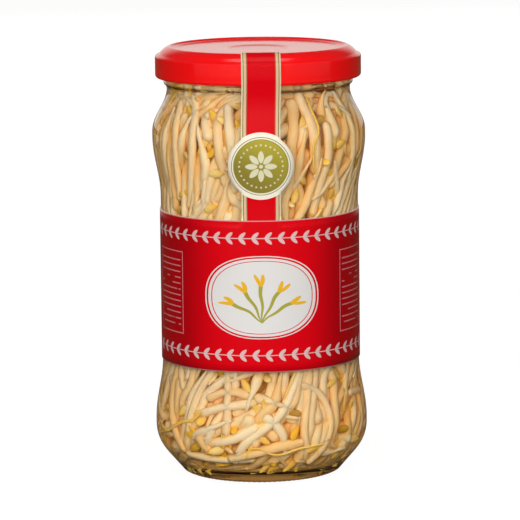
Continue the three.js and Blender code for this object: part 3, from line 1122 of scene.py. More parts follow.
@dataclass
class Label:
    """The die-cut paper: a wrap that laps at the rear, and a tab with a medallion, up over the lid's edge."""

    shape: JarShape
    lid: Lid
    printed: PrintFinish = field(default_factory=PrintFinish)
    plain: PaperFinish = field(default_factory=PaperFinish)
    gap: float = 0.1
    thick: float = 0.25
    low: float = 37.4
    high: float = 86.3
    lap: float = 18.8
    tab: float = 6.2
    tab_slip: float = 0.35
    lid_reach: float = 28.7

    def tab_line(self) -> list[Point]:
        """Give the line of the tab's back from the wrap's top edge to the lid's crest.

        Returns:
            Radius and height, in millimetres.
        """
        s, gap = self.shape, self.gap
        heights = [*np.linspace(self.high, 92, 4), *np.linspace(93, 114.4, 34)[:-1]]
        line = [(float(s.radius(z)) + gap, float(z)) for z in heights]
        free = [(34.0, 114.6), (33.35, 117.4), (32.8, 121.0), (32.75, 125.0), (33.1, 128.4), (33.4, 131.0)]
        knots = np.array([line[-2], line[-1], *free[1:]])
        for k in range(1, len(knots) - 1):
            before, a, b = knots[k - 1], knots[k], knots[k + 1]
            after = knots[min(k + 2, len(knots) - 1)]
            for t in (0.25, 0.5, 0.75, 1.0):
                bent = 2 * a + (b - before) * t + (2 * before - 5 * a + 4 * b - after) * t**2
                bent += (3 * a - before - 3 * b + after) * t**3
                line.append((float(bent[0] / 2), float(bent[1] / 2)))
        over = self.lid
        line += [(over.outer + gap, 132.6), (over.outer + gap, 134.0)]
        line += [point for point in over.shoulder(gap) if point[0] > self.lid_reach]
        return line

    def grid(self) -> tuple[np.ndarray, np.ndarray, list]:
        """Lay out the paper's back as one sheet.

        Returns:
            The places, their spots on the flat paper and the faces.
        """
        back = self.shape.waist + self.gap
        columns = self.tab * np.linspace(-1, 1, 15)
        middle = np.degrees(np.arcsin(columns / back))
        reach = 180 + self.lap
        side = np.linspace(middle[-1], reach, 96)[1:]
        angles = np.radians([*(-side[::-1]), *middle, *side])
        first = len(side)
        rows = np.linspace(self.low, self.high, 19)
        lift = (self.thick + 0.03) * np.clip((np.degrees(angles) - (reach - 2 * self.lap - 4)) / 4, 0, 1)
        places, spots, faces = [], [], []
        for z in rows:
            r, turned = back + lift, angles - self.tab_slip / back
            places.append(np.stack([r * np.sin(turned), -r * np.cos(turned), np.full(len(angles), z)], 1))
            spots.append(np.stack([angles * (back + self.thick), np.full(len(angles), z)], 1))
        wide = len(angles)
        for i in range(len(rows) - 1):
            for j in range(wide - 1):
                faces.append([i * wide + j, i * wide + j + 1, (i + 1) * wide + j + 1, (i + 1) * wide + j])
        below = [(len(rows) - 1) * wide + first + k for k in range(len(columns))]
        count = len(rows) * wide
        line = self.tab_line()
        printed, over = self.printed, self.lid
        gone = 0.0
        for k, (r, z) in enumerate(line[1:], 1):
            gone += math.dist(line[k - 1], line[k])
            half = self.tab
            if abs(z - printed.medallion_z) < printed.medallion_r:
                half = max(half, math.sqrt(printed.medallion_r**2 - (z - printed.medallion_z) ** 2))
            x = np.linspace(-half, half, len(columns))
            slid = x - self.tab_slip * min(1.0, max(0.0, (over.bottom - z) / 14))
            places.append(np.stack([slid, -np.sqrt(r * r - slid * slid), np.full(len(x), z)], 1))
            high = z if z < 130 else 130 + gone
            spots.append(np.stack([x, np.full(len(x), high)], 1))
            row = [count + n for n in range(len(x))]
            faces += [[below[n], below[n + 1], row[n + 1], row[n]] for n in range(len(x) - 1)]
            below = row
            count += len(x)
            if z < 130:
                gone = 0.0
        return np.concatenate(places), np.concatenate(spots), faces

    def build(self) -> bpy.types.Object:
        """Make the label.

        Returns:
            The paper piece.
        """
        places, spots, faces = self.grid()
        piece = make_piece("label_paper", places, faces, self.printed.build())
        mesh = piece.data
        mesh.materials.append(self.plain.build())
        paper = mesh.uv_layers.new(name="paper")
        corners = np.zeros(len(mesh.loops), int)
        mesh.loops.foreach_get("vertex_index", corners)
        paper.data.foreach_set("uv", (spots[corners] * MM).ravel())
        solid = piece.modifiers.new("thickness", "SOLIDIFY")
        solid.thickness = self.thick * MM
        solid.offset = 1.0
        solid.use_even_offset = True
        solid.material_offset = 1
        solid.material_offset_rim = 1
        solid.use_rim = True
        bpy.context.view_layer.update()
        made = bpy.data.meshes.new_from_object(piece.evaluated_get(bpy.context.evaluated_depsgraph_get()))
        piece.modifiers.clear()
        piece.data = made
        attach(piece, BODY)
        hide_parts("label")
        return piece


class Kind(Enum):
    """What a packed line stands for."""

    STEM = 0
    ROOT = 1
    HALF = 2
    HULL = 3


@dataclass(frozen=True)
class Laid:
    """A sprout, bean half or hull that lies against the glass in a set place."""

    course: tuple[Point, ...]
    thick: float = 1.7
    deeper: float = 0.0
    kind: Kind = Kind.STEM


GOLDEN_SPOTS = (
    (-47, 123.5), (-50, 119), (-61, 113), (-31, 118.5), (-24, 117), (-29, 108), (-27, 101), (-49, 106.5), (-63, 97),
    (-58, 93), (-50, 93.5), (-42, 92), (-33, 89.5), (35, 122), (31, 123), (57, 118), (52, 109), (58, 106.5), (39, 104),
    (44, 101), (26, 98.5), (21, 93.5), (18, 91), (49, 93), (4, 38.5), (2, 35), (-18, 18.5), (-30, 11.5), (56, 24),
    (63, 22.5), (45, 31), (52, 34), (18, 17), (-54, 22.5),
)
GOLDEN = tuple(Laid((spot,), 1.1 + 0.1 * (n % 4), 0.4 * (n % 3), Kind.HALF) for n, spot in enumerate(GOLDEN_SPOTS))
LAID = (
    Laid(((22, 32), (30, 31), (37, 28), (41, 24), (43, 19), (41, 15), (36, 11), (30, 8)), 1.6),
    Laid(((24, 38), (18, 31), (13, 26), (8, 22), (-2, 18), (-12, 14), (-18, 9)), 1.8),
    Laid(((8, 41), (6, 33), (3, 28), (-5, 24), (-15, 21), (-28, 18), (-42, 14)), 1.8, 1.4),
    Laid(((-37, 23), (-28, 25), (-18, 26), (-7, 27)), 1.7),
    Laid(((-34, 28), (-26, 30), (-17, 30.5), (-8, 29)), 1.6),
    Laid(((6, 23), (16, 21.5), (26, 19), (36, 15)), 1.7, 2.2),
    Laid(((-64, 36), (-68, 29), (-66, 22), (-62, 16), (-56, 11)), 1.8),
    Laid(((-28, 41), (-36, 35), (-42, 30), (-46, 24), (-49, 17)), 1.6),
    Laid(((-20, 9.5), (-8, 11), (6, 13), (22, 14)), 1.7),
    Laid(((-52, 9.6), (-38, 9), (-22, 9), (-8, 9.4)), 1.5, 1.0),
    Laid(((-50, 124), (-43, 116), (-43, 108), (-46, 100), (-50, 90)), 1.8),
    Laid(((-62, 121), (-57, 112), (-58, 102), (-60, 92)), 1.7),
    Laid(((-22, 121), (-18, 113), (-16, 105), (-17, 96)), 1.9),
    Laid(((27, 125), (31, 118), (33, 110), (34, 102)), 2.1),
    Laid(((42, 114), (43, 105), (38, 96), (34, 88)), 1.9),
    Laid(((152, 119), (150, 110), (154, 100), (152, 90)), 1.8, 3.2),
    Laid(((163, 118), (160, 108), (164, 98), (161, 88)), 1.9, 2.6),
    Laid(((173, 120), (172, 110), (170, 99), (173, 88)), 1.8, 3.3),
    Laid(((184, 119), (182, 109), (181, 99), (185, 90)), 1.8, 2.7),
    Laid(((-39, 20.5),), 1.6, kind=Kind.HALF),
    Laid(((-72, 22),), 1.6, kind=Kind.HALF),
    Laid(((-44, 12),), 1.7, kind=Kind.HULL),
    Laid(((-26, 10.5),), 1.4, 1.5, kind=Kind.HULL),
    Laid(((53, 16),), 2.0, kind=Kind.HULL),
    Laid(((6, 8.2),), 1.4, kind=Kind.HULL),
    *GOLDEN,
)


@dataclass
class Packing:
    """A seeded relaxation that packs flexible sprouts around a core until they lie side by side."""

    shape: JarShape
    laid: tuple[Laid, ...] = LAID
    stems: int = 425
    roots: int = 10
    halves: int = 40
    hulls: int = 16
    nodes: int = 15
    spacing: float = 3.3
    seed: int = 5
    rounds: int = 160
    squeeze: float = 0.84
    low: float = 5.0
    high: float = 127.6
    core_depth: float = 8.0
    core_low: float = 12.0
    core_high: float = 121.0
    core_round: float = 8.0

    def __post_init__(self) -> None:
        """Draw where each sprout starts, which way it lies and how thick it is, and add the laid ones."""
        draw = np.random.default_rng(self.seed)
        kind = np.repeat([k.value for k in Kind], [self.stems, self.roots, self.halves, self.hulls])
        count = len(kind)
        stem, root, small = kind == Kind.STEM.value, kind == Kind.ROOT.value, kind >= Kind.HALF.value
        r = 28.5 * np.sqrt(draw.uniform(np.where(stem, 0.35, 0.8), 1, count))
        turn, z = draw.uniform(0, 2 * np.pi, count), draw.uniform(self.low + 3, self.high - 3, count)
        inner = r < 20
        z[inner] = np.where(draw.random(inner.sum()) < 0.6, self.low + 4, self.high - 4)
        share = (z - self.low) / (self.high - self.low)
        tilt = np.abs(draw.normal(0, 1, count)) * np.radians(70 - 55 * np.clip(share * 1.5, 0, 1))
        tilt = np.where(inner, np.radians(85), np.minimum(tilt, np.radians(88)))
        way = turn + np.pi / 2 + draw.normal(0, 0.5, count)
        along = np.stack([np.sin(tilt) * np.cos(way), np.sin(tilt) * np.sin(way), np.cos(tilt)], 1)
        along *= np.where(draw.random(count) < 0.5, 1, -1)[:, None]
        side = np.cross(along, draw.normal(size=(count, 3)))
        side /= np.linalg.norm(side, axis=1)[:, None]
        link = np.where(stem, self.spacing * draw.uniform(0.8, 1.12, count), np.where(root, 1.8, 0.14))
        step = (np.arange(self.nodes) - (self.nodes - 1) / 2)[None, :] * link[:, None]
        bow = draw.normal(0, 0.012, count)[:, None] * step**2
        wave = np.sin(step * draw.uniform(0.35, 0.8, count)[:, None]) * draw.uniform(1, 2.6, count)[:, None]
        off = np.where(stem[:, None], bow, np.where(root[:, None], wave + bow, 0.0))
        middle = np.stack([r * np.cos(turn), r * np.sin(turn), z], 1)
        lines = middle[:, None] + along[:, None] * step[:, :, None] + side[:, None] * off[:, :, None]
        ends = np.ones(self.nodes)
        ends[:2], ends[-3:] = 1.15, (0.6, 0.42, 0.3)
        thin = np.interp(np.arange(self.nodes), [0, 2, 11, 14], [0.6, 1, 1, 0.5])
        base = np.where(stem, draw.uniform(1.45, 2.1, count), draw.uniform(0.4, 0.7, count))
        base = np.where(small, draw.uniform(1.5, 1.8, count), base)
        profile = np.where(stem[:, None], ends, np.where(root[:, None], thin, 1.0))
        held = [self.lay(each) for each in self.laid]
        self.held = len(held)
        self.kind = np.array([*(each.kind.value for each in self.laid), *kind])
        self.places = np.concatenate([np.array(held), lines])
        own = [each.thick * np.where(np.arange(self.nodes) > 12, 0.85, 1.0) for each in self.laid]
        self.radii = np.concatenate([np.array(own), base[:, None] * profile])
        steps = np.linalg.norm(self.places[:, 1] - self.places[:, 0], axis=1)
        self.link = np.concatenate([steps[: self.held], link])
        self.draw = draw

    def lay(self, each: Laid) -> np.ndarray:
        """Lay a sprout against the glass.

        Args:
            each: its course and thickness.

        Returns:
            Its nodes, evenly spread along the course.
        """
        turns, heights = np.array(each.course, float).T
        if len(turns) == 1:
            turns, heights = np.repeat(turns, 2), heights + np.array([-1.0, 1.0])
        fine = np.linspace(0, len(turns) - 1, 200)
        knots = np.arange(len(turns))
        turn, z = (np.interp(fine, knots, values) for values in (turns, heights))
        spread = np.convolve(np.pad(turn, 14, "reflect", reflect_type="odd"), np.ones(29) / 29, "valid")
        level = np.convolve(np.pad(z, 14, "reflect", reflect_type="odd"), np.ones(29) / 29, "valid")
        r = self.shape.radius(level) - self.shape.wall - each.thick - each.deeper - 0.15
        course = np.stack([r * np.sin(np.radians(spread)), -r * np.cos(np.radians(spread)), level], 1)
        gone = np.concatenate([[0], np.cumsum(np.linalg.norm(np.diff(course, axis=0), axis=1))])
        even = np.linspace(0, gone[-1], self.nodes)
        return np.stack([np.interp(even, gone, course[:, axis]) for axis in range(3)], 1)

    def core_radius(self, z: np.ndarray) -> np.ndarray:
        """Give the radius of the core that the sprouts are packed around.

        Args:
            z: heights.

        Returns:
            The radii, which are 0 past its ends.
        """
        into = np.clip(np.minimum(z - self.core_low, self.core_high - z) / self.core_round, 0, 1)
        return (self.shape.radius(z) - self.shape.wall - self.core_depth) * np.sqrt(1 - (1 - into) ** 2)

    def hold_together(self, places: np.ndarray) -> None:
        """Keep each sprout's links at their length and its bends gentle.

        Args:
            places: the nodes, changed in place.
        """
        link = self.link[:, None, None]
        soft = np.where(self.kind == Kind.ROOT.value, 0.3, 1.0)[:, None, None]
        for _ in range(2):
            for first in (0, 1):
                a, b = places[:, first:-1:2], places[:, first + 1 :: 2]
                reach = b - a
                length = np.linalg.norm(reach, axis=2, keepdims=True) + 1e-9
                pull = reach * (0.5 * (length - link) / length)
                places[:, first:-1:2] += pull
                places[:, first + 1 :: 2] -= pull
            a, b = places[:, :-2], places[:, 2:]
            reach = b - a
            length = np.linalg.norm(reach, axis=2, keepdims=True) + 1e-9
            want = 1.97 * link
            push = soft * np.where(length < want, reach * (0.25 * (length - want) / length), 0)
            places[:, :-2] += push
            places[:, 2:] -= push
            middle = 0.5 * (places[:, :-2] + places[:, 2:]) - places[:, 1:-1]
            places[:, 1:-1] += 0.12 * soft * middle

    def neighbours(self, spots: np.ndarray, far: float = 5.5) -> tuple[np.ndarray, np.ndarray]:
        """Find pairs of nodes of different sprouts that are near each other.

        Args:
            spots: all nodes, one to a row.
            far: how near, in millimetres.

        Returns:
            The first and the second node of each pair.
        """
        order = np.argsort(spots[:, 2], kind="stable")
        ranked = spots[order]
        end = np.searchsorted(ranked[:, 2], ranked[:, 2] + far)
        firsts, seconds = [], []
        for start in range(0, len(ranked), 512):
            stop = min(start + 512, len(ranked))
            gap = ranked[start:stop, None] - ranked[None, start : end[stop - 1]]
            i, j = np.nonzero(np.einsum("ijk,ijk->ij", gap, gap) < far * far)
            keep = j > i
            firsts.append(order[i[keep] + start])
            seconds.append(order[j[keep] + start])
        a, b = np.concatenate(firsts), np.concatenate(seconds)
        apart = a // self.nodes != b // self.nodes
        return a[apart], b[apart]

    def reach(self, z: np.ndarray, radii: np.ndarray) -> np.ndarray:
        """Give how far out a round thing may lie.

        Args:
            z: heights of its middle.
            radii: its radii.

        Returns:
            The most that its middle may be from the axis.
        """
        s = self.shape
        limit = np.full(len(z), np.inf)
        for level in (z - 0.7 * radii, z, z + 0.7 * radii):
            neck = s.mouth + 0.9 * np.maximum(0, 124.5 - level)
            limit = np.minimum(limit, np.minimum(s.radius(level) - s.wall, neck))
        limit -= radii + 0.05
        depth = np.clip((10.5 - np.maximum(z - radii, 4.8)) / 5.7, 0, 1)
        return np.minimum(limit, 22 + (limit - 22) * np.sqrt(1 - depth**2))

    def keep_inside(self, spots: np.ndarray, radii: np.ndarray) -> None:
        """Keep every node within the jar and out of the core.

        Args:
            spots: all nodes, changed in place.
            radii: their radii.
        """
        spots[:, 2] = np.clip(spots[:, 2], self.low + radii, self.high - radii)
        away = np.hypot(spots[:, 0], spots[:, 1]) + 1e-9
        least = self.core_radius(spots[:, 2])
        spots[:, :2] *= np.maximum(1, least / away)[:, None]
        away = np.maximum(away, least)
        spots[:, :2] *= np.minimum(1, self.reach(spots[:, 2], radii) / away)[:, None]

    def settle(self) -> np.ndarray:
        """Run the relaxation.

        Returns:
            The nodes of each sprout, in millimetres.
        """
        places, radii = self.places, self.radii.reshape(-1)
        fixed = places[: self.held].copy()
        first = second = np.zeros(0, int)
        for turn in range(self.rounds):
            self.hold_together(places)
            spots = places.reshape(-1, 3)
            if turn % 8 == 0:
                first, second = self.neighbours(spots)
            reach = spots[first] - spots[second]
            length = np.linalg.norm(reach, axis=1) + 1e-9
            over = np.maximum((radii[first] + radii[second]) * self.squeeze - length, 0)
            move = reach / length[:, None] * (0.3 * over)[:, None]
            total = np.zeros_like(spots)
            touch = np.bincount(np.concatenate([first[over > 0], second[over > 0]]), minlength=len(spots))
            for axis in range(3):
                total[:, axis] = np.bincount(first, move[:, axis], minlength=len(spots))
                total[:, axis] -= np.bincount(second, move[:, axis], minlength=len(spots))
            spots += total / np.maximum(1, touch * 0.5)[:, None]
            if turn < self.rounds * 0.8:
                away = np.hypot(spots[:, 0], spots[:, 1]) + 1e-9
                spots[:, :2] *= (1 + 0.1 * np.clip((away - 8) / 14, 0, 1) / away)[:, None]
            self.keep_inside(spots, radii)
            places = spots.reshape(places.shape)
            places[: self.held] = fixed
        return places


class Maker:
    """A geometry nodes tree under construction, and its run on a piece."""

    def __init__(self, name: str, inputs: dict[str, tuple[str, object]]) -> None:
        """Start the tree.

        Args:
            name: the tree's name.
            inputs: input names with their socket types and values.
        """
        self.tree = bpy.data.node_groups.new(name, "GeometryNodeTree")
        face = self.tree.interface
        face.new_socket("Geometry", in_out="INPUT", socket_type="NodeSocketGeometry")
        self.values = {}
        for label, (kind, value) in inputs.items():
            socket = face.new_socket(label, in_out="INPUT", socket_type=kind)
            self.values[socket.identifier] = value
        face.new_socket("Geometry", in_out="OUTPUT", socket_type="NodeSocketGeometry")
        self.graph = Graph(self.tree)
        self.given = self.graph.add("NodeGroupInput")
        self.out = self.graph.add("NodeGroupOutput")

    def named(self, name: str, kind: str) -> Socket:
        """Read a named attribute.

        Args:
            name: the attribute.
            kind: its data type.

        Returns:
            Its value.
        """
        return self.graph.add("GeometryNodeInputNamedAttribute", {"Name": name}, data_type=kind).outputs["Attribute"]

    def close(self, geometry: Socket) -> None:
        """End the tree in realized geometry with its material.

        Args:
            geometry: what the tree made.
        """
        real = self.graph.add("GeometryNodeRealizeInstances", {"Geometry": geometry})
        smooth = self.graph.add("GeometryNodeSetShadeSmooth", {"Geometry": real.outputs[0]})
        dressed = self.graph.add("GeometryNodeSetMaterial", {"Geometry": smooth.outputs[0]})
        self.graph.feed(dressed.inputs["Material"], self.given.outputs["Material"])
        self.graph.feed(self.out.inputs[0], dressed.outputs[0])

    def run(self, name: str, seed_mesh: bpy.types.Mesh) -> bpy.types.Object:
        """Run the tree on a mesh, and keep the result as a plain mesh piece.

        Args:
            name: the piece's name.
            seed_mesh: what the tree starts from.

        Returns:
            The new piece.
        """
        piece = bpy.data.objects.new(name, seed_mesh)
        bpy.context.scene.collection.objects.link(piece)
        modifier = piece.modifiers.new(name, "NODES")
        modifier.node_group = self.tree
        for identifier, value in self.values.items():
            modifier[identifier] = value
        bpy.context.view_layer.update()
        made = bpy.data.meshes.new_from_object(piece.evaluated_get(bpy.context.evaluated_depsgraph_get()))
        piece.modifiers.clear()
        piece.data = made
        made.name = name
        return piece


@dataclass
class SproutBunch:
    """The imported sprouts: stems that thin to roots, loose roots, golden bean halves, olive hulls and a pulpy core."""

    packing: Packing
    stem: SproutFinish = SproutFinish(Part.STEM, (1.0, 0.77, 0.54), (0.97, 0.6, 0.29), (0.96, 0.62, 0.27))
    bean: SproutFinish = SproutFinish(Part.BEAN, (1.0, 0.73, 0.34), (0.98, 0.54, 0.05), (0.97, 0.5, 0.05), 0.5)
    hull: SproutFinish = SproutFinish(Part.HULL, (0.62, 0.4, 0.04), (0.5, 0.28, 0.02), (0.45, 0.24, 0.02), 0.5)
    pulp: SproutFinish = SproutFinish(Part.PULP, (0.98, 0.7, 0.4), (0.94, 0.6, 0.28), (0.9, 0.55, 0.25), streaks=0.2)
    headed: float = 0.6
    sides: int = 8
    core_sides: int = 120
    core_swell: float = 2.0
    split_z: float = 65.0

    def line_mesh(self, lines: np.ndarray, radii: np.ndarray, tints: np.ndarray) -> bpy.types.Mesh:
        """Make edges along the sprouts' lines, with points past both ends that close them round.

        Args:
            lines: the nodes of each line, in millimetres.
            radii: their radii.
            tints: one number from 0 to 1 to a line.

        Returns:
            A mesh of edges with thickness, tint, along and twist attributes.
        """
        caps = ((1.0, 0.1), (0.9, 0.44), (0.55, 0.84))
        columns, widths = [lines], [radii]
        for end, inner in ((0, 1), (-1, -2)):
            ahead = lines[:, end] - lines[:, inner]
            ahead /= np.linalg.norm(ahead, axis=1)[:, None] + 1e-9
            beyond = [(lines[:, end] + ahead * (far * radii[:, end])[:, None])[:, None] for far, _ in caps]
            narrowed = [(share * radii[:, end])[:, None] for _, share in caps]
            if end == 0:
                columns, widths = [*beyond, *columns], [*narrowed, *widths]
            else:
                columns, widths = [*columns, *beyond[::-1]], [*widths, *narrowed[::-1]]
        lines, radii = np.concatenate(columns, 1), np.concatenate(widths, 1)
        count, nodes = lines.shape[:2]
        numbers = np.arange(count * nodes).reshape(count, nodes)
        edges = np.stack([numbers[:, :-1].ravel(), numbers[:, 1:].ravel()], 1)
        mesh = bpy.data.meshes.new("sprout_lines")
        mesh.from_pydata((lines.reshape(-1, 3) * MM).tolist(), edges.tolist(), [])
        along = np.tile(np.linspace(0, 1, nodes), count)
        twist = (tints * 37 % (2 * np.pi))[:, None] + np.linspace(-1, 1, nodes)[None, :] * (tints * 91 % 2)[:, None]
        values = {"thickness": radii.ravel() * MM, "tint": np.repeat(tints, nodes), "along": along}
        for name, numbers in {**values, "twist": twist.ravel()}.items():
            mesh.attributes.new(name, "FLOAT", "POINT").data.foreach_set("value", numbers.astype(np.float32))
        return mesh

    def tubes(self, name: str, mesh: bpy.types.Mesh, material: bpy.types.Material, rings: int) -> bpy.types.Object:
        """Run tubes, a little flattened, along lines.

        Args:
            name: the piece's name.
            mesh: the lines.
            material: the finish.
            rings: how many rings each link of a line has.

        Returns:
            The new piece.
        """
        inputs = {
            "Sides": ("NodeSocketInt", self.sides),
            "Rings": ("NodeSocketInt", rings),
            "Flatness": ("NodeSocketVector", (1.0, 0.84, 1.0)),
            "Material": ("NodeSocketMaterial", material),
        }
        maker = Maker("tubes along lines", inputs)
        graph, given = maker.graph, maker.given
        curve = graph.add("GeometryNodeMeshToCurve", {"Mesh": given.outputs["Geometry"]}).outputs[0]
        curve = graph.add("GeometryNodeCurveSplineType", {"Curve": curve}, spline_type="CATMULL_ROM").outputs[0]
        finer = {"Geometry": curve, "Resolution": given.outputs["Rings"]}
        curve = graph.add("GeometryNodeSetSplineResolution", finer).outputs[0]
        thick = maker.named("thickness", "FLOAT")
        twisted = {"Curve": curve, "Tilt": maker.named("twist", "FLOAT")}
        curve = graph.add("GeometryNodeSetCurveTilt", twisted).outputs[0]
        round_line = {"Resolution": given.outputs["Sides"], "Radius": 1.0}
        ring = graph.add("GeometryNodeCurvePrimitiveCircle", round_line).outputs[0]
        spot = graph.add("GeometryNodeInputPosition").outputs[0]
        stored = {"Geometry": ring, "Name": "ring", "Value": spot}
        ring = graph.add("GeometryNodeStoreNamedAttribute", stored, data_type="FLOAT_VECTOR").outputs[0]
        flat = graph.vector("MULTIPLY", spot, given.outputs["Flatness"])
        ring = graph.add("GeometryNodeSetPosition", {"Geometry": ring, "Position": flat}).outputs[0]
        swept = {"Curve": curve, "Profile Curve": ring, "Scale": thick, "Fill Caps": True}
        tube = graph.add("GeometryNodeCurveToMesh", swept)
        maker.close(tube.outputs[0])
        return maker.run(name, mesh)

    def half_points(self, lines: np.ndarray, tints: np.ndarray, kind: Kind) -> bpy.types.Mesh:
        """Place bean halves, in pairs at the heads of some stems and singly on loose spots, or hulls.

        Args:
            lines: the nodes of each line, in millimetres.
            tints: one number to a line.
            kind: HALF for the bean halves, or HULL.

        Returns:
            A mesh of points with turn, size and tint attributes.
        """
        draw, pack = self.packing.draw, self.packing
        spots, turns, sizes, shades = [], [], [], []
        wanted = (Kind.STEM.value, kind.value) if kind is Kind.HALF else (kind.value,)
        for index in np.nonzero(np.isin(pack.kind, wanted))[0]:
            line = lines[index]
            loose = pack.kind[index] != Kind.STEM.value
            if not loose and draw.random() > self.headed:
                continue
            start = Vector(line[len(line) // 2] if loose else line[0])
            ahead = Vector(draw.normal(size=3)) if loose else Vector(line[0] - line[3])
            spread = draw.uniform(0.05, 0.45)
            for side in (1,) if loose else (1, -1):
                outwards = Vector((start.x, start.y, 0.0)).normalized()
                axis = (ahead.normalized() - 0.8 * outwards * max(0, ahead.normalized().dot(outwards))).normalized()
                leaning = (axis + axis.cross(outwards).normalized() * side * spread).normalized()
                length = draw.uniform(1.9, 2.9) if loose else draw.uniform(3.0, 4.2)
                wide = draw.uniform(1.0, 1.5) if loose else draw.uniform(1.0, 1.5)
                spot = start + leaning * (0 if loose else length * 0.7)
                most = float(pack.reach(np.array([spot.z]), np.array([1.2]))[0])
                away = math.hypot(spot.x, spot.y)
                if away > most:
                    spot = Vector((spot.x * most / away, spot.y * most / away, spot.z))
                facing = (outwards - leaning * outwards.dot(leaning)).normalized()
                frame = Matrix((facing.cross(leaning), facing, leaning)).transposed().to_quaternion()
                frame.rotate(Quaternion(leaning, draw.uniform(-0.4, 0.4) + (0 if side > 0 else math.pi)))
                spots.append(tuple(spot * MM))
                turns.append(tuple(frame.to_euler()))
                sizes.append((wide, wide * (0.6 if loose else 0.5), length))
                shades.append(float(tints[index]))
        mesh = bpy.data.meshes.new("half_points")
        mesh.from_pydata(spots, [], [])
        for name, values in (("turn", np.array(turns)), ("size", np.array(sizes) * MM)):
            vectors = mesh.attributes.new(name, "FLOAT_VECTOR", "POINT").data
            vectors.foreach_set("vector", values.astype(np.float32).ravel())
        mesh.attributes.new("tint", "FLOAT", "POINT").data.foreach_set("value", np.array(shades, np.float32))
        return mesh

    def half_shapes(self, name: str, mesh: bpy.types.Mesh, material: bpy.types.Material) -> bpy.types.Object:
        """Put a bean half or hull on every point.

        Args:
            name: the piece's name.
            mesh: the points.
            material: the finish.

        Returns:
            The new piece.
        """
        inputs = {
            "Segments": ("NodeSocketInt", 10),
            "Rings": ("NodeSocketInt", 7),
            "Curl": ("NodeSocketFloat", 0.5),
            "Material": ("NodeSocketMaterial", material),
        }
        maker = Maker("bean halves on points", inputs)
        graph, given = maker.graph, maker.given
        round_ball = {"Segments": given.outputs["Segments"], "Rings": given.outputs["Rings"], "Radius": 1.0}
        ball = graph.add("GeometryNodeMeshUVSphere", round_ball)
        spot = graph.add("GeometryNodeInputPosition").outputs[0]
        parts = graph.add("ShaderNodeSeparateXYZ", {0: spot})
        x, y, z = parts.outputs
        narrow = graph.math("MULTIPLY_ADD", z, -0.28, 1.0)
        flat = graph.math("MAXIMUM", y, graph.math("MULTIPLY", y, 0.25))
        curled = graph.math("MULTIPLY_ADD", graph.math("MULTIPLY", z, z), given.outputs["Curl"], flat)
        moved = graph.add("ShaderNodeCombineXYZ", {0: graph.math("MULTIPLY", x, narrow), 1: curled, 2: z}).outputs[0]
        half = graph.add("GeometryNodeSetPosition", {"Geometry": ball.outputs[0], "Position": moved}).outputs[0]
        stored = {"Geometry": half, "Name": "along", "Value": graph.math("MULTIPLY_ADD", z, 0.5, 0.5)}
        half = graph.add("GeometryNodeStoreNamedAttribute", stored, data_type="FLOAT").outputs[0]
        stored = {"Geometry": half, "Name": "ring", "Value": spot}
        half = graph.add("GeometryNodeStoreNamedAttribute", stored, data_type="FLOAT_VECTOR").outputs[0]
        placed = graph.add("GeometryNodeInstanceOnPoints", {"Points": given.outputs["Geometry"], "Instance": half})
        graph.feed(placed.inputs["Rotation"], maker.named("turn", "FLOAT_VECTOR"))
        graph.feed(placed.inputs["Scale"], maker.named("size", "FLOAT_VECTOR"))
        maker.close(placed.outputs[0])
        return maker.run(name, mesh)

    def core(self, draw: np.random.Generator) -> bpy.types.Object:
        """Make the lumpy core, which closes the gaps between the stems in the depth.

        Args:
            draw: the generator of random numbers.

        Returns:
            The new piece.
        """
        pack = self.packing
        heights = np.linspace(pack.core_low, pack.core_high, 90)
        bare = pack.core_radius(heights)
        full = np.where(bare > 0, bare + self.core_swell, 0)
        rings = [(max(0.0, float(r)), float(z)) for r, z in zip(full, heights)]
        lumps = draw.uniform(-0.7, 0.7, (len(rings), self.core_sides))
        lumps = (lumps + np.roll(lumps, 1, 0) + np.roll(lumps, 1, 1) + np.roll(lumps, (1, 1), (0, 1))) / 2
        turn = iter(range(len(rings)))

        def lumpy(angles: np.ndarray, r: np.ndarray, z: np.ndarray) -> tuple[np.ndarray, np.ndarray]:
            """Push a ring in and out."""
            return r * (1 - 0.05 + lumps[next(turn)] * 0.04), z

        places, faces = lathe(rings, self.core_sides, lumpy)
        return make_piece("sprouts_core", places, faces, self.pulp.build())

    def build(self) -> list[bpy.types.Object]:
        """Make the bunch.

        Returns:
            Its pieces.
        """
        pack = self.packing
        lines = pack.settle()
        radii, kind = pack.radii, pack.kind
        tints = pack.draw.random(len(lines))
        away = np.hypot(lines[:, :, 0], lines[:, :, 1]).max(1)
        wall = pack.shape.radius(lines[:, 7, 2]) - pack.shape.wall
        stems, roots = kind == Kind.STEM.value, kind == Kind.ROOT.value
        outer = stems & (away > wall - 3.2)
        upper = lines[:, 7, 2] > self.split_z
        stem, bean = self.stem.build(), self.bean.build()
        pieces = []
        shown = (
            ("sprouts_upper", outer & upper, stem, 2),
            ("sprouts_lower", outer & ~upper, stem, 2),
            ("sprouts_inner", stems & ~outer, stem, 1),
            ("root_threads", roots, bean, 1),
        )
        for name, chosen, finish, rings in shown:
            mesh = self.line_mesh(lines[chosen], radii[chosen], tints[chosen])
            pieces.append(self.tubes(name, mesh, finish, rings))
        pieces.append(self.half_shapes("bean_halves", self.half_points(lines, tints, Kind.HALF), bean))
        pieces.append(self.half_shapes("bean_hulls", self.half_points(lines, tints, Kind.HULL), self.hull.build()))
        pieces.append(self.core(pack.draw))
        for piece in pieces:
            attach(piece, BODY)
        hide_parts("sprouts")
        return pieces


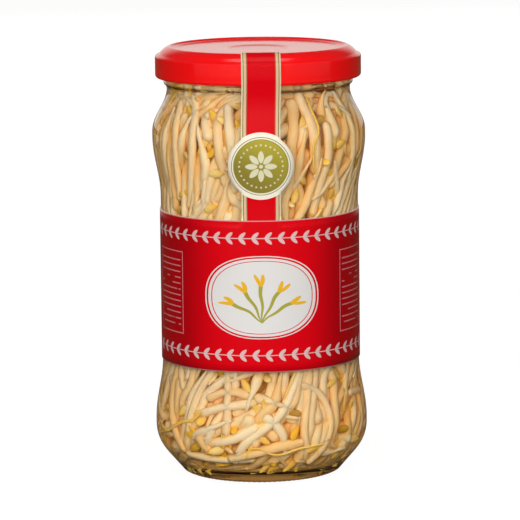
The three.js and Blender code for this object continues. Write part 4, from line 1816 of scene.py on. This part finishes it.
@dataclass
class Studio:
    """The floor, the lights and the camera, at the photograph's angle."""

    distance: float = 1.1373
    height: float = 0.2479
    pitch: float = 8.957
    azimuth: float = -1.65
    roll: float = 0.6
    focal_px: float = 3531.7
    frame_px: float = 520.0
    key: float = 33.0
    fill: float = 8.0
    strip: float = 1.0
    backdrop: float = 0.85
    ambient: float = 0.1
    hood: float = 3.0
    amber: tuple = (1.0, 0.48, 0.12)
    through: float = 0.36
    warmth: tuple = (1.0, 0.96, 0.9)

    def floor(self) -> None:
        """Lay the floor."""
        places = np.array([(-4, -4, 0), (4, -4, 0), (4, 4, 0), (-4, 4, 0)], float) / MM
        sweep = make_piece("studio_floor", places, [(0, 1, 2, 3)], FloorFinish().build())

    def camera(self) -> None:
        """Set the camera up."""
        data = bpy.data.cameras.new("camera")
        data.sensor_width = 36.0
        data.lens = self.focal_px / self.frame_px * data.sensor_width
        data.clip_start, data.clip_end = 0.05, 20.0
        camera = bpy.data.objects.new("camera", data)
        turn = math.radians(self.azimuth)
        camera.location = (self.distance * math.sin(turn), -self.distance * math.cos(turn), self.height)
        looking = Matrix.Rotation(turn, 3, "Z") @ Matrix.Rotation(math.radians(90 - self.pitch), 3, "X")
        camera.rotation_euler = (looking @ Matrix.Rotation(-math.radians(self.roll), 3, "Z")).to_euler()
        bpy.context.scene.collection.objects.link(camera)
        bpy.context.scene.camera = camera

    def softbox(self, name: str, azimuth: float, away: Point, size: Point, power: float) -> bpy.types.Object:
        """Hang a rectangular softbox that faces the jar.

        Args:
            name: the light's name.
            azimuth: degrees round from the front, towards +X.
            away: metres from the jar's axis, and metres over the floor.
            size: its width and height, in metres.
            power: its power, in watts.

        Returns:
            The light.
        """
        data = bpy.data.lights.new(name, "AREA")
        data.shape, data.size, data.size_y = "RECTANGLE", *size
        data.energy = power
        light = bpy.data.objects.new(name, data)
        turn = math.radians(azimuth)
        light.location = (away[0] * math.sin(turn), -away[0] * math.cos(turn), away[1])
        aim = Vector((0, 0, 0.075)) - light.location
        light.rotation_euler = aim.to_track_quat("-Z", "Y").to_euler()
        bpy.context.scene.collection.objects.link(light)
        return light

    def world(self) -> None:
        """Light the room: a bright backdrop, a hood over the camera, and only a dim amber seen through glass."""
        world = bpy.data.worlds.new("studio")
        bpy.context.scene.world = world
        world.use_nodes = True
        graph = Graph(world.node_tree)
        way = graph.add("ShaderNodeTexCoord").outputs["Generated"]
        parts = graph.add("ShaderNodeSeparateXYZ", {0: graph.vector("NORMALIZE", way)})
        passed = graph.add("ShaderNodeLightPath").outputs["Is Transmission Ray"]
        behind = graph.math("MULTIPLY", graph.step(parts.outputs[1], 0.72, 0.97), self.backdrop)
        over = graph.math("MULTIPLY", graph.step(parts.outputs[2], 0.9, 0.94), self.hood)
        over = graph.math("MULTIPLY", over, graph.step(parts.outputs[1], -0.1, 0.02, (1.0, 0.0)))
        light = graph.math("ADD", graph.math("ADD", behind, over), self.ambient)
        light = graph.add("ShaderNodeMix", {0: passed, 2: light, 3: self.through}, data_type="FLOAT").outputs[0]
        colour = graph.mix(passed, (*self.warmth, 1), (*self.amber, 1))
        back = world.node_tree.nodes["Background"]
        graph.feed(back.inputs["Color"], colour)
        graph.feed(back.inputs["Strength"], light)

    def build(self) -> None:
        """Set up the whole studio."""
        self.floor()
        self.camera()
        key = self.softbox("key", -5, (1.5, 0.42), (2.3, 1.1), self.key)
        fill = self.softbox("back_fill", 180, (1.5, 0.7), (1.6, 1.0), self.fill)
        for unseen in (key, fill):
            unseen.visible_glossy = False
            unseen.visible_transmission = False
        for name, azimuth in (("left_strip", -47), ("right_strip", 56)):
            self.softbox(name, azimuth, (1.0, 0.35), (1.2, 1.0), self.strip)
        self.world()
        bpy.context.scene.view_settings.view_transform = "Standard"


def main() -> None:
    """Build the jar piece by piece, and log each."""
    logging.basicConfig(level=logging.INFO, format="%(name)s: %(message)s")
    Groups.build()
    Studio().build()
    shape = JarShape()
    lid = Lid()
    for part in (GlassJar(shape), Brine(shape), lid, Label(shape, lid)):
        piece = part.build()
        LOG.info("%s: %d faces", piece.name, len(piece.data.polygons))
    for piece in SproutBunch(Packing(shape)).build():
        LOG.info("%s: %d faces", piece.name, len(piece.data.polygons))


if __name__ == "__main__":
    main()
